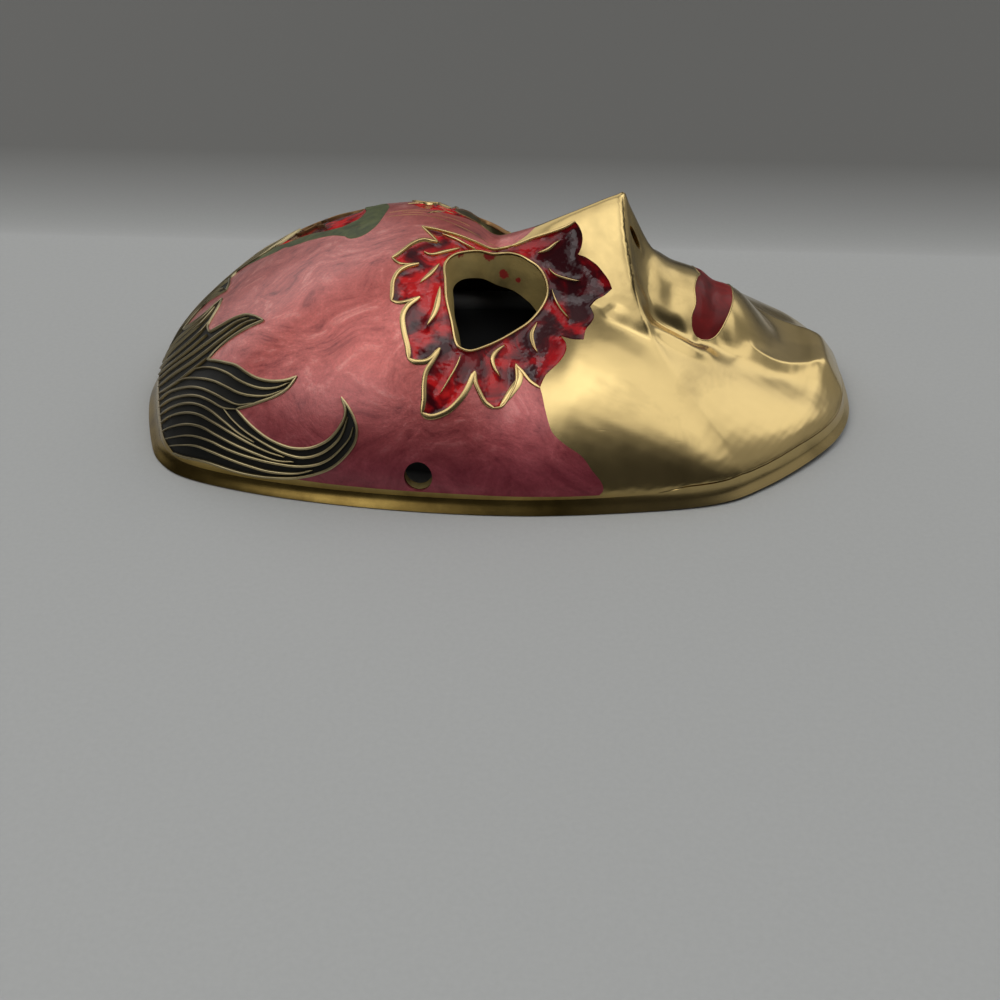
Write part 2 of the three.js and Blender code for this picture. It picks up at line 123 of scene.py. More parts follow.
# Outline of the wreath of petals, one run between each tip and each notch, from the brow by the temple.
WREATH = [
    [(-12.6, 4.2), (-10.8, 7)],
    [(-13.4, 6.5), (-15.3, 7.9), (-17.2, 10.7), (-18.9, 12.8)],
    [(-17.5, 14.2), (-15.7, 14.4), (-13.8, 13.9)],
    [(-15.7, 14.7), (-17.4, 16.2), (-18.4, 18.7), (-18.5, 21.3), (-18.6, 23.2)],
    [(-17.2, 23.6), (-15.4, 23.1), (-13.3, 21.9)],
    [(-14.5, 23), (-15.8, 24.6), (-16.5, 26.8), (-16.2, 29.8), (-15.6, 32.5), (-15.4, 35)],
    [(-14.2, 35.4), (-12.1, 35), (-10.6, 33.8), (-9.4, 31.8)],
    [(-10.9, 34.9), (-12.1, 37.2), (-12.6, 39.8), (-12.8, 42.8), (-13.4, 45.6)],
    [(-12.1, 46.2), (-10.1, 45.7), (-7.6, 44.1), (-5.3, 41.3), (-3.9, 38.5), (-2.6, 34.3)],
    [(-2.4, 36.5), (-1.4, 38.5), (-0.3, 40), (1.3, 40.5)],
    [(3.1, 39.2), (4.4, 35.9), (5.3, 32.6), (4.9, 28.6)],
    [(6.2, 29.9), (7.8, 32), (10, 33.8)],
    [(10.8, 30.8), (12.1, 29), (13.4, 27.1), (14.2, 24.9), (14, 22.8), (13, 21.1)],
    [(15.2, 21.9), (17.3, 21.9)],
    [(17.5, 19.2), (18.4, 17.2), (18.8, 15.2), (18, 12.9)],
    [(18.9, 11.9), (20.7, 11.5), (22, 11)],
    [(21.3, 9.9), (20.1, 8.7), (18.6, 7.4), (16.7, 6.3), (15.2, 5.8)],
    [(15.8, 5), (15.9, 3.8), (15.2, 2.6), (14.4, 1.8)],
    [(12.8, 2.1), (10.4, 2.3), (8.1, 2.4), (6.4, 2.5), (4.8, 2.8), (2.8, 3.1)],
    [(0.8, 3), (-1.8, 3.3), (-5, 3.9), (-8.5, 3.4), (-11.4, 2.5), (-14.2, 1.6)],
]
# Widths of the brass line on each run of the wreath; none where the petal is sunk into bare brass.
WREATH_WIDTH = [0.55, 0.75, 0.6, 0.9, 0.8, 1.15, 1.15, 1.05, 1.2, 0.95, 0.5, 0.7] + [0] * 6 + [0.7, 0.5]

# Runs and veins that lie low beside the nose bridge on the mask's left side, and their shift at the brow.
LOW_RUNS = (0, 1, 2, 18, 19)
LOW_VEINS = (0, 1, 10)
FAR_BROW_SHIFT = 1.8

# Veins of the petals: middle line, then full width at its widest.
VEINS = [
    ([(-10.1, 4.1), (-7.5, 4.9), (-5.6, 5.6), (-3.8, 5.8)], 0.55),
    ([(-13.1, 10.5), (-11.6, 10.7), (-9, 8.9), (-6.6, 7.2)], 0.8),
    ([(-13.4, 18.6), (-11.4, 15.5), (-10.1, 12.8)], 0.9),
    ([(-11.8, 27.6), (-10.4, 24.4), (-9.9, 21.4), (-9.7, 18.4)], 1.2),
    ([(-9.4, 41), (-8, 38.5), (-6.2, 34.7), (-5.3, 31.8)], 0.45),
    ([(2.1, 32.5), (1.1, 31.1), (0.6, 29.3), (1.2, 27.1), (2.6, 24.6)], 1),
    ([(4.9, 28.2), (5.8, 30), (5.8, 32.4), (4.7, 35), (3.7, 37.3), (2.4, 39.9)], 1.7),
    ([(8.8, 25), (7.9, 23), (7.4, 20.2), (8.2, 17.3)], 0.9),
    ([(14.1, 16.4), (12.5, 13.9), (11.2, 11.6), (10.5, 10.2)], 0.5),
    ([(15.8, 8.9), (13.3, 8.6), (10.9, 8.2), (9.7, 7.5)], 0.5),
    ([(11.7, 3.8), (10.9, 4.1), (9.4, 4.9), (7.6, 5.4)], 0.7),
]

# Edge of the locks of hair from the end of the band along the rim to the middle line.
HAIR_EDGE = [
    [(-82.5, 52.6), (-77, 54.2), (-73, 55.8), (-67, 59.2), (-60, 61.2), (-52, 61.7), (-45.6, 60.9),
     (-40, 59.4), (-36, 57.6), (-32.1, 54.9), (-29.4, 52.2), (-28.1, 49), (-28.6, 45.6), (-30.1, 42.4)],
    [(-29.8, 45.2), (-31.2, 47.8), (-34.6, 50.8), (-38.4, 52.5), (-42.2, 53.1), (-46.2, 52.5),
     (-50.2, 50.2), (-53.2, 46.6), (-55.4, 42.3)],
    [(-51.8, 42), (-48.7, 41.5), (-45, 40.8), (-41.6, 39.5), (-38.9, 37.2)],
    [(-41.4, 37.7), (-44.6, 37.5), (-47.6, 36.5), (-50, 34.8), (-52.6, 32.2), (-56, 30), (-61.6, 26.4)],
    [(-58.3, 24.3), (-54.6, 22.9), (-50.4, 22.1), (-45.4, 22.1)],
    [(-48.3, 18.9), (-51.2, 16.6), (-54.8, 15.6), (-59, 15.6), (-62.8, 15.4)],
    [(-63.9, 12), (-62.8, 9), (-61.7, 5.6), (-61.5, 2)],
    [(-65, 3.2), (-68.6, 4), (-73, 3.4), (-80, 0)],
]
HAIR_BAND = [(-97.5, 0), (-96, 9), (-92.6, 18.5), (-90.4, 27), (-88.9, 35.6), (-88.1, 43.5), (-86.9, 50.5)]
HAIR_EDGE_WIDTH = [0.65, 0.7, 0.7, 0.75, 0.75, 0.6, 0.55, 0.5]

# Strands inside the locks.
STRANDS = [
    [(-86.2, 47.6), (-80, 48.4), (-73.5, 49.6), (-69.3, 51.9), (-65.9, 54.2), (-61.5, 56.8), (-56, 59.2),
     (-49, 60), (-43, 59)],
    [(-86.9, 44.6), (-80, 45.4), (-72.6, 46.6), (-67.5, 48.8), (-63.8, 51.6), (-59.6, 54), (-54, 56.2),
     (-47.4, 57.7), (-42, 57.6), (-37.6, 56.3), (-33.6, 53.9), (-30.4, 51.2), (-28.9, 48.8)],
    [(-87.3, 41.2), (-80, 41.8), (-72.6, 43), (-67.6, 44.9), (-64.2, 47.7), (-60.6, 50.6), (-56, 53.6),
     (-51.6, 55.8), (-46.8, 56.4)],
    [(-87.9, 37.5), (-80, 38), (-72.4, 39.4), (-67.1, 41.4), (-63.2, 44.4), (-60, 47.3), (-56.6, 50.3),
     (-52.6, 53.2), (-48.6, 55)],
    [(-88.6, 33.8), (-80, 34.9), (-71, 36.8), (-66.1, 38.8), (-62.7, 41.3), (-60.2, 44.4), (-57.6, 47.9),
     (-54.6, 50.6)],
    [(-89.2, 30.2), (-80, 31.5), (-71, 34.2), (-65.6, 36.4), (-62, 38.8), (-58.8, 41.4), (-55.4, 42.3)],
    [(-58.6, 41.8), (-57.5, 44.6), (-55.4, 47.8), (-52, 51.2), (-48.2, 54), (-43.8, 55.4), (-38.8, 54.6),
     (-34.4, 52.4), (-31.6, 49.8), (-29.6, 46.6)],
    [(-89.8, 26.8), (-80, 28.2), (-70.6, 31.4), (-64.4, 34.4), (-60.2, 37.4), (-57.2, 39.8), (-54.4, 41.4),
     (-50.4, 41.6)],
    [(-76, 26.6), (-70.4, 28.2), (-64.2, 31.4), (-59.6, 34.1), (-56.2, 36.7), (-53.3, 38.8), (-50, 40),
     (-46.4, 40.4), (-42.6, 39.7)],
    [(-66.4, 27), (-62.4, 28.6), (-58.6, 30.8), (-55.3, 33.3), (-52.9, 35.6), (-50.4, 37.4), (-47.4, 38.7),
     (-44, 39), (-40.8, 38.3)],
    [(-90.4, 23.2), (-83, 25.4), (-74.7, 26.9), (-68, 26.6), (-61.6, 25.6)],
    [(-91.4, 19.6), (-84, 21.2), (-77.3, 22.3), (-69.4, 23.2), (-63.4, 22.8), (-58.4, 21.6), (-53.4, 20.3),
     (-50.2, 19.9), (-47.4, 20.8)],
    [(-92.8, 15.8), (-86, 17.4), (-78, 18.9), (-70, 19.7), (-64, 19.5), (-58.3, 18.6), (-53.6, 17.8),
     (-49.8, 18.6)],
    [(-94, 12.4), (-86, 14.6), (-78.4, 16.4), (-70.5, 16.9), (-63.4, 15.9)],
    [(-95, 8.6), (-87, 11), (-79.3, 12.9), (-71.3, 13.3), (-66.4, 12.4), (-63.9, 10.8)],
    [(-95.8, 4.8), (-88, 6.8), (-80, 8.4), (-72.5, 8.9), (-67, 8), (-63.2, 4.8)],
    [(-96.6, 1.6), (-89, 3), (-81, 4), (-73.5, 5.8), (-68, 5.6), (-64, 3.6)],
]

# Edge of the rose enamel beyond the wreath: nose bridge, cheek, then along the rim to the hair.
ROSE_BRIDGE = [(7, 0), (5.6, 1.4), (4, 2.3), (2.2, 3.1)]
ROSE_CHEEK = [
    (10, 33.6), (10.6, 35.4), (11.9, 40), (13.8, 44.8), (17, 48), (21.5, 51.2), (24.9, 55.2), (28.2, 58.8),
    (30.2, 62.2), (30.4, 65.2),
]
ROSE_RIM = [(30.4, 65.2), (20, 66.2), (4, 66.6), (-12, 66.4), (-26, 65.6), (-40, 64), (-50, 62.1)]

# The leaf on the forehead lies along the middle line, on the mask's left (+), with a stem to the nose.
LEAF_EDGE = [
    [(-59, 14.8), (-51.8, 10.8), (-48.4, 9.6)],
    [(-46.2, 9.6), (-44.3, 7.8), (-39.2, 6)],
    [(-36.4, 5), (-32.8, 3.2), (-30.1, 0.8)],
    [(-28.6, -1.4), (-26.7, -2), (-24.8, -0.8), (-23.3, 2.4), (-22.6, 7.1)],
    [(-22.4, 12), (-24.6, 18), (-28.6, 23)],
    [(-28.4, 17), (-27.4, 12.5), (-28.6, 8.6), (-31.7, 6.9)],
    [(-36, 8.4), (-40.2, 11), (-46, 13.2), (-51, 16), (-58, 20), (-66, 21)],
]
LEAF_VEINS = [
    [(-22.6, 6.4), (-27, 4.2), (-33, 5.4), (-41, 9), (-51, 13.4), (-61, 18.6)],
    [(-24.4, 5.4), (-25.2, 10.2), (-26.4, 16)],
]
STEM_LINES = [
    [(-22.8, 5.6), (-17, 4.9), (-13.7, 4.1), (-10.8, 2.5), (-7.9, 0.4), (-4.6, -1), (-1.6, -1.6),
     (0.6, -2.8)],
    [(-22.8, 7.8), (-17.2, 7.6), (-12.1, 6.4), (-7.4, 4.6)],
    [(-19, 6.6), (-14, 5.6), (-9.4, 3.6), (-5.4, 1.4)],
]

# The flower beside the leaf, one run for each petal.
FLOWER_EDGE = [
    [(-28.6, 8.6), (-27.4, 12.5), (-28.4, 17), (-28.6, 23)],
    [(-26.4, 28), (-29, 33), (-34, 34.4), (-38, 31.6)],
    [(-41.6, 36.4), (-48, 37.4), (-52.4, 33.6), (-52, 28.6)],
    [(-57.6, 29.6), (-61.8, 26), (-62, 20.6)],
    [(-58, 20), (-51, 16), (-46, 13.2), (-40.2, 11), (-36, 8.4), (-31.7, 6.9)],
]
FLOWER_VEINS = [
    [(-38, 31.6), (-38.8, 27.4), (-42, 24.6)],
    [(-52, 28.6), (-48.4, 26.6), (-45.6, 23.6)],
    [(-28.6, 23), (-33.4, 23.4), (-38, 21)],
    [(-55.4, 20.6), (-50.8, 21.6), (-46.6, 20.2)],
    [(-36.4, 11.4), (-37.8, 15.4), (-40.4, 18)],
    [(-38, 21), (-40.4, 25), (-44.6, 24.6), (-46.4, 21), (-43.6, 18), (-40.4, 18.8)],
]

# Lips: outer edge, corner to corner across the near half, and the parting.
LIP_UPPER = [
    (40.6, 0), (39.8, 1.8), (39.1, 5), (39.4, 7.9), (38.7, 9.9), (38.8, 11.3), (39.6, 12.4), (41.2, 12.9),
    (42.6, 12.6),
]
LIP_LOWER = [(42.6, 12.6), (44.4, 11.3), (46.1, 9.4), (47.7, 6.5), (48.6, 3.3), (48.8, 0)]
LIP_PARTING = [(44, 0), (43.8, 2), (43.5, 4.8), (43.1, 8.1), (42.7, 10.8), (42.6, 12.6)]
LIP_RISE = 0.18

# Soft ridges and valleys of the bare brass: line, height and half width.
FOLDS = [
    ([(23.4, 0), (23.6, 1.7), (23.8, 3.4), (24.2, 5.1), (24.7, 6.8), (25.3, 8.5), (26, 10.3),
      (26.8, 12)], 0.24, 0.75),
    ([(26.8, 12), (28.2, 11.7), (29.8, 10.9), (33, 10.8), (35.8, 10.9), (37.4, 12), (39, 13.2),
      (40.8, 14.4)], 0.5, 1.5),
    ([(20.6, 12.4), (23, 14.4), (25.8, 15.6), (28.6, 16.4), (33.4, 16.9), (36.2, 17.4), (39.4, 18),
      (43.4, 18.2)], 0.4, 1.5),
]
# Other edges of the bare brass, where only the mesh is made finer.
EDGES = [
    [(4, 0), (12, 0), (23.4, 0)],
    [(50.4, 8.4), (53, 8.9), (57.1, 10.9), (61, 11.2), (67.8, 10.4), (77.9, 7)],
    [(77.9, 7), (76.6, 9.3), (76.5, 11.8), (76.6, 14.4), (76, 19.4), (77.1, 25.5)],
    [(47.1, 24), (50.7, 22.6), (56, 18.7), (61.4, 14.7), (67, 12.5), (76.6, 9.3)],
]
EDGE_HALF = 0.8
GROOVE_DEPTH = 1.1
GROOVE_REACH = 2.4
GROOVE_START = 36
NOSTRIL = (26.0, 3.5)
NOSTRIL_HALF = (1.15, 0.75)
NOSTRIL_DEPTH = 2.0
NOSTRIL_REACH = 2.2


def ease(low, high, x):
    t = np.clip((x - low) / (high - low), 0, 1)
    return t * t * (3 - 2 * t)


def upper(a, b, rounding):
    return 0.5 * (a + b + np.sqrt((a - b) ** 2 + rounding * rounding))


def lower(a, b, rounding):
    return 0.5 * (a + b - np.sqrt((a - b) ** 2 + rounding * rounding))


def along(x, xs, ys):
    """Smooth curve through stations, with slopes taken from the neighbours."""
    xs, ys = np.asarray(xs, float), np.asarray(ys, float)
    before = np.maximum(np.arange(len(xs)) - 1, 0)
    after = np.minimum(np.arange(len(xs)) + 1, len(xs) - 1)
    slope = (ys[after] - ys[before]) / (xs[after] - xs[before])
    i = np.clip(np.searchsorted(xs, x) - 1, 0, len(xs) - 2)
    h = xs[i + 1] - xs[i]
    t = np.clip((x - xs[i]) / h, 0, 1)
    a = (2 * t**3 - 3 * t**2 + 1) * ys[i] + (t**3 - 2 * t**2 + t) * h * slope[i]
    return a + (3 * t**2 - 2 * t**3) * ys[i + 1] + (t**3 - t**2) * h * slope[i + 1]


def catmull_rom(points, steps, closed=False):
    p = np.asarray(points, float)
    if closed:
        p = np.vstack([p[-1], p, p[0], p[1]])
    else:
        p = np.vstack([2 * p[0] - p[1], p, 2 * p[-1] - p[-2]])
    t = np.linspace(0, 1, steps, endpoint=False)[:, None]
    out = []
    for a, b, c, d in zip(p, p[1:], p[2:], p[3:]):
        out.append(0.5 * (2 * b + (c - a) * t + (2 * a - 5 * b + 4 * c - d) * t**2
                          + (3 * b - a - 3 * c + d) * t**3))
    if not closed:
        out.append(p[-2][None])
    return np.vstack(out)


def evenly(line, step):
    """The same line with points about a step apart, ends kept."""
    line = np.asarray(line, float)
    run = np.concatenate([[0], np.cumsum(np.linalg.norm(np.diff(line, axis=0), axis=1))])
    count = max(int(round(run[-1] / step)), 2)
    at = np.linspace(0, run[-1], count + 1)
    return np.stack([np.interp(at, run, line[:, k]) for k in range(line.shape[1])], 1)


def curve(points, step=LINE_STEP, closed=False):
    if len(points) < 3:
        return evenly(points, step)
    line = catmull_rom(points, 12, closed)
    return evenly(ring(line) if closed else line, step)


def ring(loop):
    """The loop with its first point again at the end."""
    return np.vstack([loop, loop[:1]])


def chained(runs, start=None):
    """Each run with the end of the one before it put in front."""
    starts = [start or runs[-1][-1]] + [run[-1] for run in runs[:-1]]
    return [[first] + run for first, run in zip(starts, runs)]


def on_side(line, side):
    return np.asarray(line, float) * (1, side)


def wreath_side(line, side):
    """The wreath on the mask's left keeps a little further from the middle over the brow."""
    line = on_side(line, side)
    if side > 0:
        u, v = line[:, 0], line[:, 1]
        over_brow = ease(2.8, -5.0, u) + ease(-6.0, -11.0, u)
        line[:, 1] += FAR_BROW_SHIFT * np.exp(-(((v - 1.5) / 5) ** 2)) * over_brow
    return line


full_outline = OUTLINE + [(x, -y) for x, y in OUTLINE[-2:0:-1]]
outline_points = catmull_rom(full_outline, 24, closed=True)
outline_points = outline_points[outline_points[:, 1] >= -1e-9]
outline_bearing = np.arctan2(np.maximum(outline_points[:, 1], 0), outline_points[:, 0])
outline_reach = np.hypot(outline_points[:, 0], outline_points[:, 1])
in_order = np.argsort(outline_bearing)
outline_bearing, outline_reach = outline_bearing[in_order], outline_reach[in_order]


def rim_radius(bearing):
    turned = np.abs(np.arctan2(np.sin(bearing), np.cos(bearing)))
    return np.interp(turned, outline_bearing, outline_reach)


def chin_lift(x):
    return CHIN_LIFT * np.clip((x - LIFT_START) / (HALF_LENGTH - LIFT_START), 0, 1) ** 2


def nose(x, y, thin):
    side = np.sqrt(y * y + 1.44) - 1.2 + thin * 1.6
    ridge = 38.7 + 0.475 * (x - 4) + 0.4 * ease(3, -4, x) - thin
    slope = 0.2 + 1.25 * ease(2, 22, x)
    curl = 0.03 * (1 - ease(4, 24, x))
    flank = ridge - slope * side - curl * side * side
    under = NOSE_TIP_Z - 2.1 * (x - NOSE_TIP_X + thin) - 1.15 * side + 0.03 * side * side
    blunt = NOSE_TIP_Z + 0.2 - 0.05 * (x - NOSE_TIP_X) - 0.5 * side - thin
    return lower(lower(flank, under, 1.2), blunt, 0.8)


def muzzle(x, y):
    return along(x, MUZZLE_X, MUZZLE_Z) - 0.04 * y * y - 0.00004 * y**4


def chin(x, y):
    """A blunt boss: hollowed top, steep side, flat plane of the jaw and a front that falls away."""
    side = np.abs(y)
    edge_z, edge_y = along(x, CHIN_X, CHIN_Z), along(x, CHIN_X, CHIN_HALF)
    top = edge_z + 0.03 * (side - edge_y)
    facet = edge_z - (side - edge_y)
    plane = 11.3 - 0.5 * (side - 12) - 0.3 * (x - 69)
    corner = 12.35 - 1.07 * (x - 73) - 0.75 * (side - 10)
    end = 12 - 1.7 * (x - 76.5) - 0.12 * side
    front = 20 + 1.2 * (x - 58)
    jaw = lower(top, upper(facet, plane, 0.6), 0.35)
    return lower(lower(lower(jaw, corner, 0.8), end, 1.0), front, 2.0)


def near_segment(x, y, start, end):
    (ax, ay), (bx, by) = start, end
    dx, dy = bx - ax, by - ay
    t = np.clip(((x - ax) * dx + (y - ay) * dy) / (dx * dx + dy * dy), 0, 1)
    return np.hypot(x - ax - t * dx, y - ay - t * dy)


def skin_height(x, y, rho, thin):
    """Height of the skin over a plan point; rho is 0 in the middle and 1 at the rim."""
    side = np.abs(y)
    fall = np.maximum(1 - rho * rho, 0) ** DOME_POWER
    z = BAND_HEIGHT + along(x, ROOF_X, ROOF_Z) * fall
    z = z + BROW_RISE * np.exp(-(((x - BROW_X) / BROW_REACH[0]) ** 2) - (y / BROW_REACH[1]) ** 2)
    z = upper(z, muzzle(x, y), 1.6)
    z = upper(z, chin(x, y), 2.0 + 3.0 * ease(10, 26, side))
    for start, end, height, reach in (MOUTH_VALLEY, CHEEK_RIDGE):
        z = z + height * np.exp(-((near_segment(x, side, start, end) / reach) ** 2))
    return upper(z, nose(x, y, thin), 3.2)


def plan_of(uv):
    """Bearing, distance of the rim band, and rho of points on the unfolded skin."""
    bearing = np.arctan2(uv[:, 1], uv[:, 0])
    reach = rim_radius(bearing) - BAND_INSET
    tau = np.clip(np.hypot(uv[:, 0], uv[:, 1]) / (UNFOLD * reach), 0, 1)
    return bearing, reach, np.sin(tau * math.pi / 2)


def outside(uv):
    bearing, reach, rho = plan_of(uv)
    x, y = rho * reach * np.cos(bearing), rho * reach * np.sin(bearing)
    z = skin_height(x, y, rho, 0) + chin_lift(x) * ease(0.8, 1, rho)
    return np.stack([x, y, z], 1)


def inside(uv):
    bearing, reach, rho = plan_of(uv)
    x, y = rho * reach * np.cos(bearing), rho * reach * np.sin(bearing)
    shrink = (reach - WALL) / reach
    drop = np.sqrt(np.maximum(1 - rho * rho, 0))
    near_eye = np.hypot((x - 0.5) / 15, (np.abs(y) - 20) / 19)
    thickness = WALL + EYE_WALL_EXTRA * ease(1.2, 0.85, near_eye)
    z = skin_height(x, y, rho, 1) - thickness * drop + chin_lift(x) * ease(0.8, 1, rho)
    return np.stack([x * shrink, y * shrink, z], 1)


def unfold(xy, inset):
    """Unfolded coordinates of plan points, for the outside (inset 0) or the inside (inset of the wall)."""
    bearing = np.arctan2(xy[:, 1], xy[:, 0])
    reach = rim_radius(bearing) - BAND_INSET
    rho = np.clip(np.hypot(xy[:, 0], xy[:, 1]) / (reach - inset), 0, 1)
    far = UNFOLD * reach * np.arcsin(rho) * 2 / math.pi
    return np.stack([far * np.cos(bearing), far * np.sin(bearing)], 1)


def unit(vectors):
    return vectors / np.maximum(np.linalg.norm(vectors, axis=1, keepdims=True), 1e-12)


def normals(uv, step=0.12):
    inward = uv * (1 - 0.002)
    du = outside(inward + (step, 0)) - outside(inward - (step, 0))
    dv = outside(inward + (0, step)) - outside(inward - (0, step))
    return unit(np.cross(du, dv))


def inside_polygon(points, polygon):
    """True for each point that lies within the closed polygon."""
    x, y = points[:, 0], points[:, 1]
    odd = np.zeros(len(points), bool)
    for (ax, ay), (bx, by) in zip(polygon, np.roll(polygon, -1, axis=0)):
        if ay == by:
            continue
        crosses = (ay > y) != (by > y)
        odd ^= crosses & (x < (bx - ax) * (y - ay) / (by - ay) + ax)
    return odd


def find_each(points, samples):
    """The nearest sample to each point: its place, its index and how far it is."""
    tree = KDTree(len(samples))
    for i, (x, y) in enumerate(samples):
        tree.insert((x, y, 0), i)
    tree.balance()
    return [tree.find((x, y, 0)) for x, y in points]


def nearest(points, samples):
    """Distance from each point to the nearest sample."""
    return np.array([found[2] for found in find_each(points, samples)])


def hex_grid(low, high, spacing):
    rows = np.arange(low[1], high[1], spacing * math.sqrt(3) / 2)
    columns = np.arange(low[0], high[0], spacing)
    u, v = np.meshgrid(columns, rows)
    u = u + (np.arange(len(rows)) % 2)[:, None] * spacing / 2
    return np.stack([u.ravel(), v.ravel()], 1)


# Lines on the unfolded skin, as dense polylines.
eye_loops = {side: curve(on_side(EYE, side), closed=True)[:-1] for side in (1, -1)}
wreath_runs = {side: [curve(wreath_side(run, side)) for run in chained(WREATH)] for side in (1, -1)}
wreath_loops = {side: np.vstack([run[:-1] for run in wreath_runs[side]]) for side in (1, -1)}
hair_chain = chained(HAIR_EDGE, HAIR_BAND[-1])
hair_runs = {side: [curve(on_side(run, side)) for run in hair_chain] for side in (1, -1)}
hair_half = np.vstack([run[:-1] for run in hair_runs[1]] + [[(-80.0, 0.0)]])
band_half = curve(HAIR_BAND)
hair_loop = np.vstack([
    band_half[:-1], hair_half, (hair_half * (1, -1))[::-1][1:], (band_half * (1, -1))[::-1][1:-1],
])
inner_half = [(2.2, 3.1), (5.0, 12.0), (9.0, 33.0)]
under_hair = [(-60.0, 58.0), (-80.0, 40.0), (-90.0, 20.0), (-92.0, 0.0)]
rose_half = np.vstack([
    curve(ROSE_BRIDGE)[:-1], inner_half, curve(ROSE_CHEEK)[:-1], curve(ROSE_RIM), under_hair,
])
rose_loop = np.vstack([rose_half, (rose_half * (1, -1))[::-1][1:-1]])
leaf_runs = [curve(run) for run in chained(LEAF_EDGE)]
leaf_loop = np.vstack([run[:-1] for run in leaf_runs])
flower_runs = [curve(run) for run in chained(FLOWER_EDGE)]
flower_loop = np.vstack([run[:-1] for run in flower_runs])
lip_upper, lip_lower = curve(LIP_UPPER, 0.4), curve(LIP_LOWER, 0.4)
lip_half = np.vstack([lip_upper[:-1], lip_lower])
lip_loop = np.vstack([lip_half, (lip_half * (1, -1))[::-1][1:-1]])
parting_half = curve(LIP_PARTING, 0.4)
parting = np.vstack([parting_half[::-1], (parting_half * (1, -1))[1:]])
rose_edges = (ROSE_BRIDGE, ROSE_CHEEK, ROSE_RIM)
rose_lines = [on_side(curve(line), side) for line in rose_edges for side in (1, -1)]
band_lines = [band_half, band_half * (1, -1)]


def ellipse(centre, half, count=20):
    a = np.linspace(0, 2 * math.pi, count, endpoint=False)
    return np.stack([centre[0] + half[0] * np.cos(a), centre[1] + half[1] * np.sin(a)], 1)


nostril_loops = {}
for side in (1, -1):
    centre = (NOSTRIL[0], NOSTRIL[1] * side)
    nostril_loops[side] = [ellipse(centre, [h * k for h in NOSTRIL_HALF]) for k in (1.0, 0.78)]


def across_at(x, z, surface, inset):
    """How far from the middle line a surface passes a given station and height."""
    low = np.full(len(x), 30.0)
    high = np.full(len(x), 56.0)
    for _ in range(40):
        middle = (low + high) / 2
        under = surface(unfold(np.stack([x, middle], 1), inset))[:, 2] < z
        high = np.where(under, middle, high)
        low = np.where(under, low, middle)
    return (low + high) / 2


def tie_circle(surface, inset, side):
    """The round tie hole where it meets the outside or the inside, in unfolded coordinates."""
    a = np.linspace(0, 2 * math.pi, TIE_POINTS, endpoint=False)
    x = TIE_HOLE_X + TIE_HOLE_RADIUS * np.cos(a)
    z = TIE_HOLE_Z + TIE_HOLE_RADIUS * np.sin(a)
    y = across_at(x, z, surface, inset)
    return unfold(np.stack([x, y], 1), inset) * (1, side)


tie_loops = {side: tie_circle(outside, 0, side) for side in (1, -1)}
rim_bearing = np.linspace(0, 2 * math.pi, RIM_POINTS, endpoint=False)
rim_bearing = rim_bearing - RIM_CROWDING * np.sin(2 * rim_bearing)
rim_reach = UNFOLD * (rim_radius(rim_bearing) - BAND_INSET)
rim_loop = np.stack([rim_reach * np.cos(rim_bearing), rim_reach * np.sin(rim_bearing)], 1)


class Plane:
    """Points and fixed edges on a plane, to be triangulated."""

    def __init__(self):
        self.points = []
        self.edges = []
        self.count = 0

    def add_line(self, line, closed=False):
        start = self.count
        self.points.append(np.asarray(line, float))
        self.count += len(line)
        self.edges += [(start + i, start + i + 1) for i in range(len(line) - 1)]
        if closed:
            self.edges.append((self.count - 1, start))

    def add_points(self, points):
        self.points.append(np.asarray(points, float))
        self.count += len(points)

    def fixed(self):
        return np.vstack(self.points)

    def triangulate(self):
        coordinates = [Vector(p) for p in np.vstack(self.points)]
        made = delaunay_2d_cdt(coordinates, self.edges, [], 0, 1e-5, False)
        return np.array([tuple(v) for v in made[0]]), np.array([tuple(f) for f in made[2]])


def spaced_from(points, samples, gap):
    return points[nearest(points, samples) > gap]


def counter_clockwise(uv, faces):
    a, b, c = uv[faces[:, 0]], uv[faces[:, 1]], uv[faces[:, 2]]
    area = (b[:, 0] - a[:, 0]) * (c[:, 1] - a[:, 1]) - (b[:, 1] - a[:, 1]) * (c[:, 0] - a[:, 0])
    faces = faces.copy()
    turned = area < 0
    faces[turned] = faces[turned][:, ::-1]
    return faces[np.abs(area) > 1e-9]


def inset_line(loop, gap):
    """Points a gap inside a closed loop, left out where the loop is too narrow for them."""
    area = np.sum(loop[:, 0] * np.roll(loop[:, 1], -1) - loop[:, 1] * np.roll(loop[:, 0], -1))
    tangent = unit(np.roll(loop, -1, axis=0) - np.roll(loop, 1, axis=0))
    inner = loop + np.stack([-tangent[:, 1], tangent[:, 0]], 1) * gap * np.sign(area)
    return inner[nearest(inner, evenly(ring(loop), 0.1)) > gap * 0.85]


def from_rim(uv):
    """How far inside the top of the rim band points lie."""
    bearing = np.arctan2(uv[:, 1], uv[:, 0])
    return UNFOLD * (rim_radius(bearing) - BAND_INSET) - np.hypot(uv[:, 0], uv[:, 1])


def close_to(points, path, margin):
    """True for points less than a margin outside the box round a path."""
    return np.maximum(path.min(0) - points, points - path.max(0)).max(1) < margin


def near_folds(points):
    """Below 1 close to a fold line, a nostril or the groove along the chin, where the grid is fine."""
    share = np.full(len(points), 9.0)
    widths = [(line, half) for line, _, half in FOLDS] + [(line, EDGE_HALF) for line in EDGES]
    for line, half in widths:
        for side in (1, -1):
            path = curve(on_side(line, side))
            close = close_to(points, path, 2 * half)
            share[close] = np.minimum(share[close], nearest(points[close], path) / (1.8 * half + 0.3))
    for side in (1, -1):
        away = np.hypot(points[:, 0] - NOSTRIL[0], points[:, 1] - NOSTRIL[1] * side)
        share = np.minimum(share, away / NOSTRIL_REACH)
    by_groove = np.where(points[:, 0] > GROOVE_START, from_rim(points) / (GROOVE_REACH + 0.6), 9)
    return np.minimum(share, by_groove)


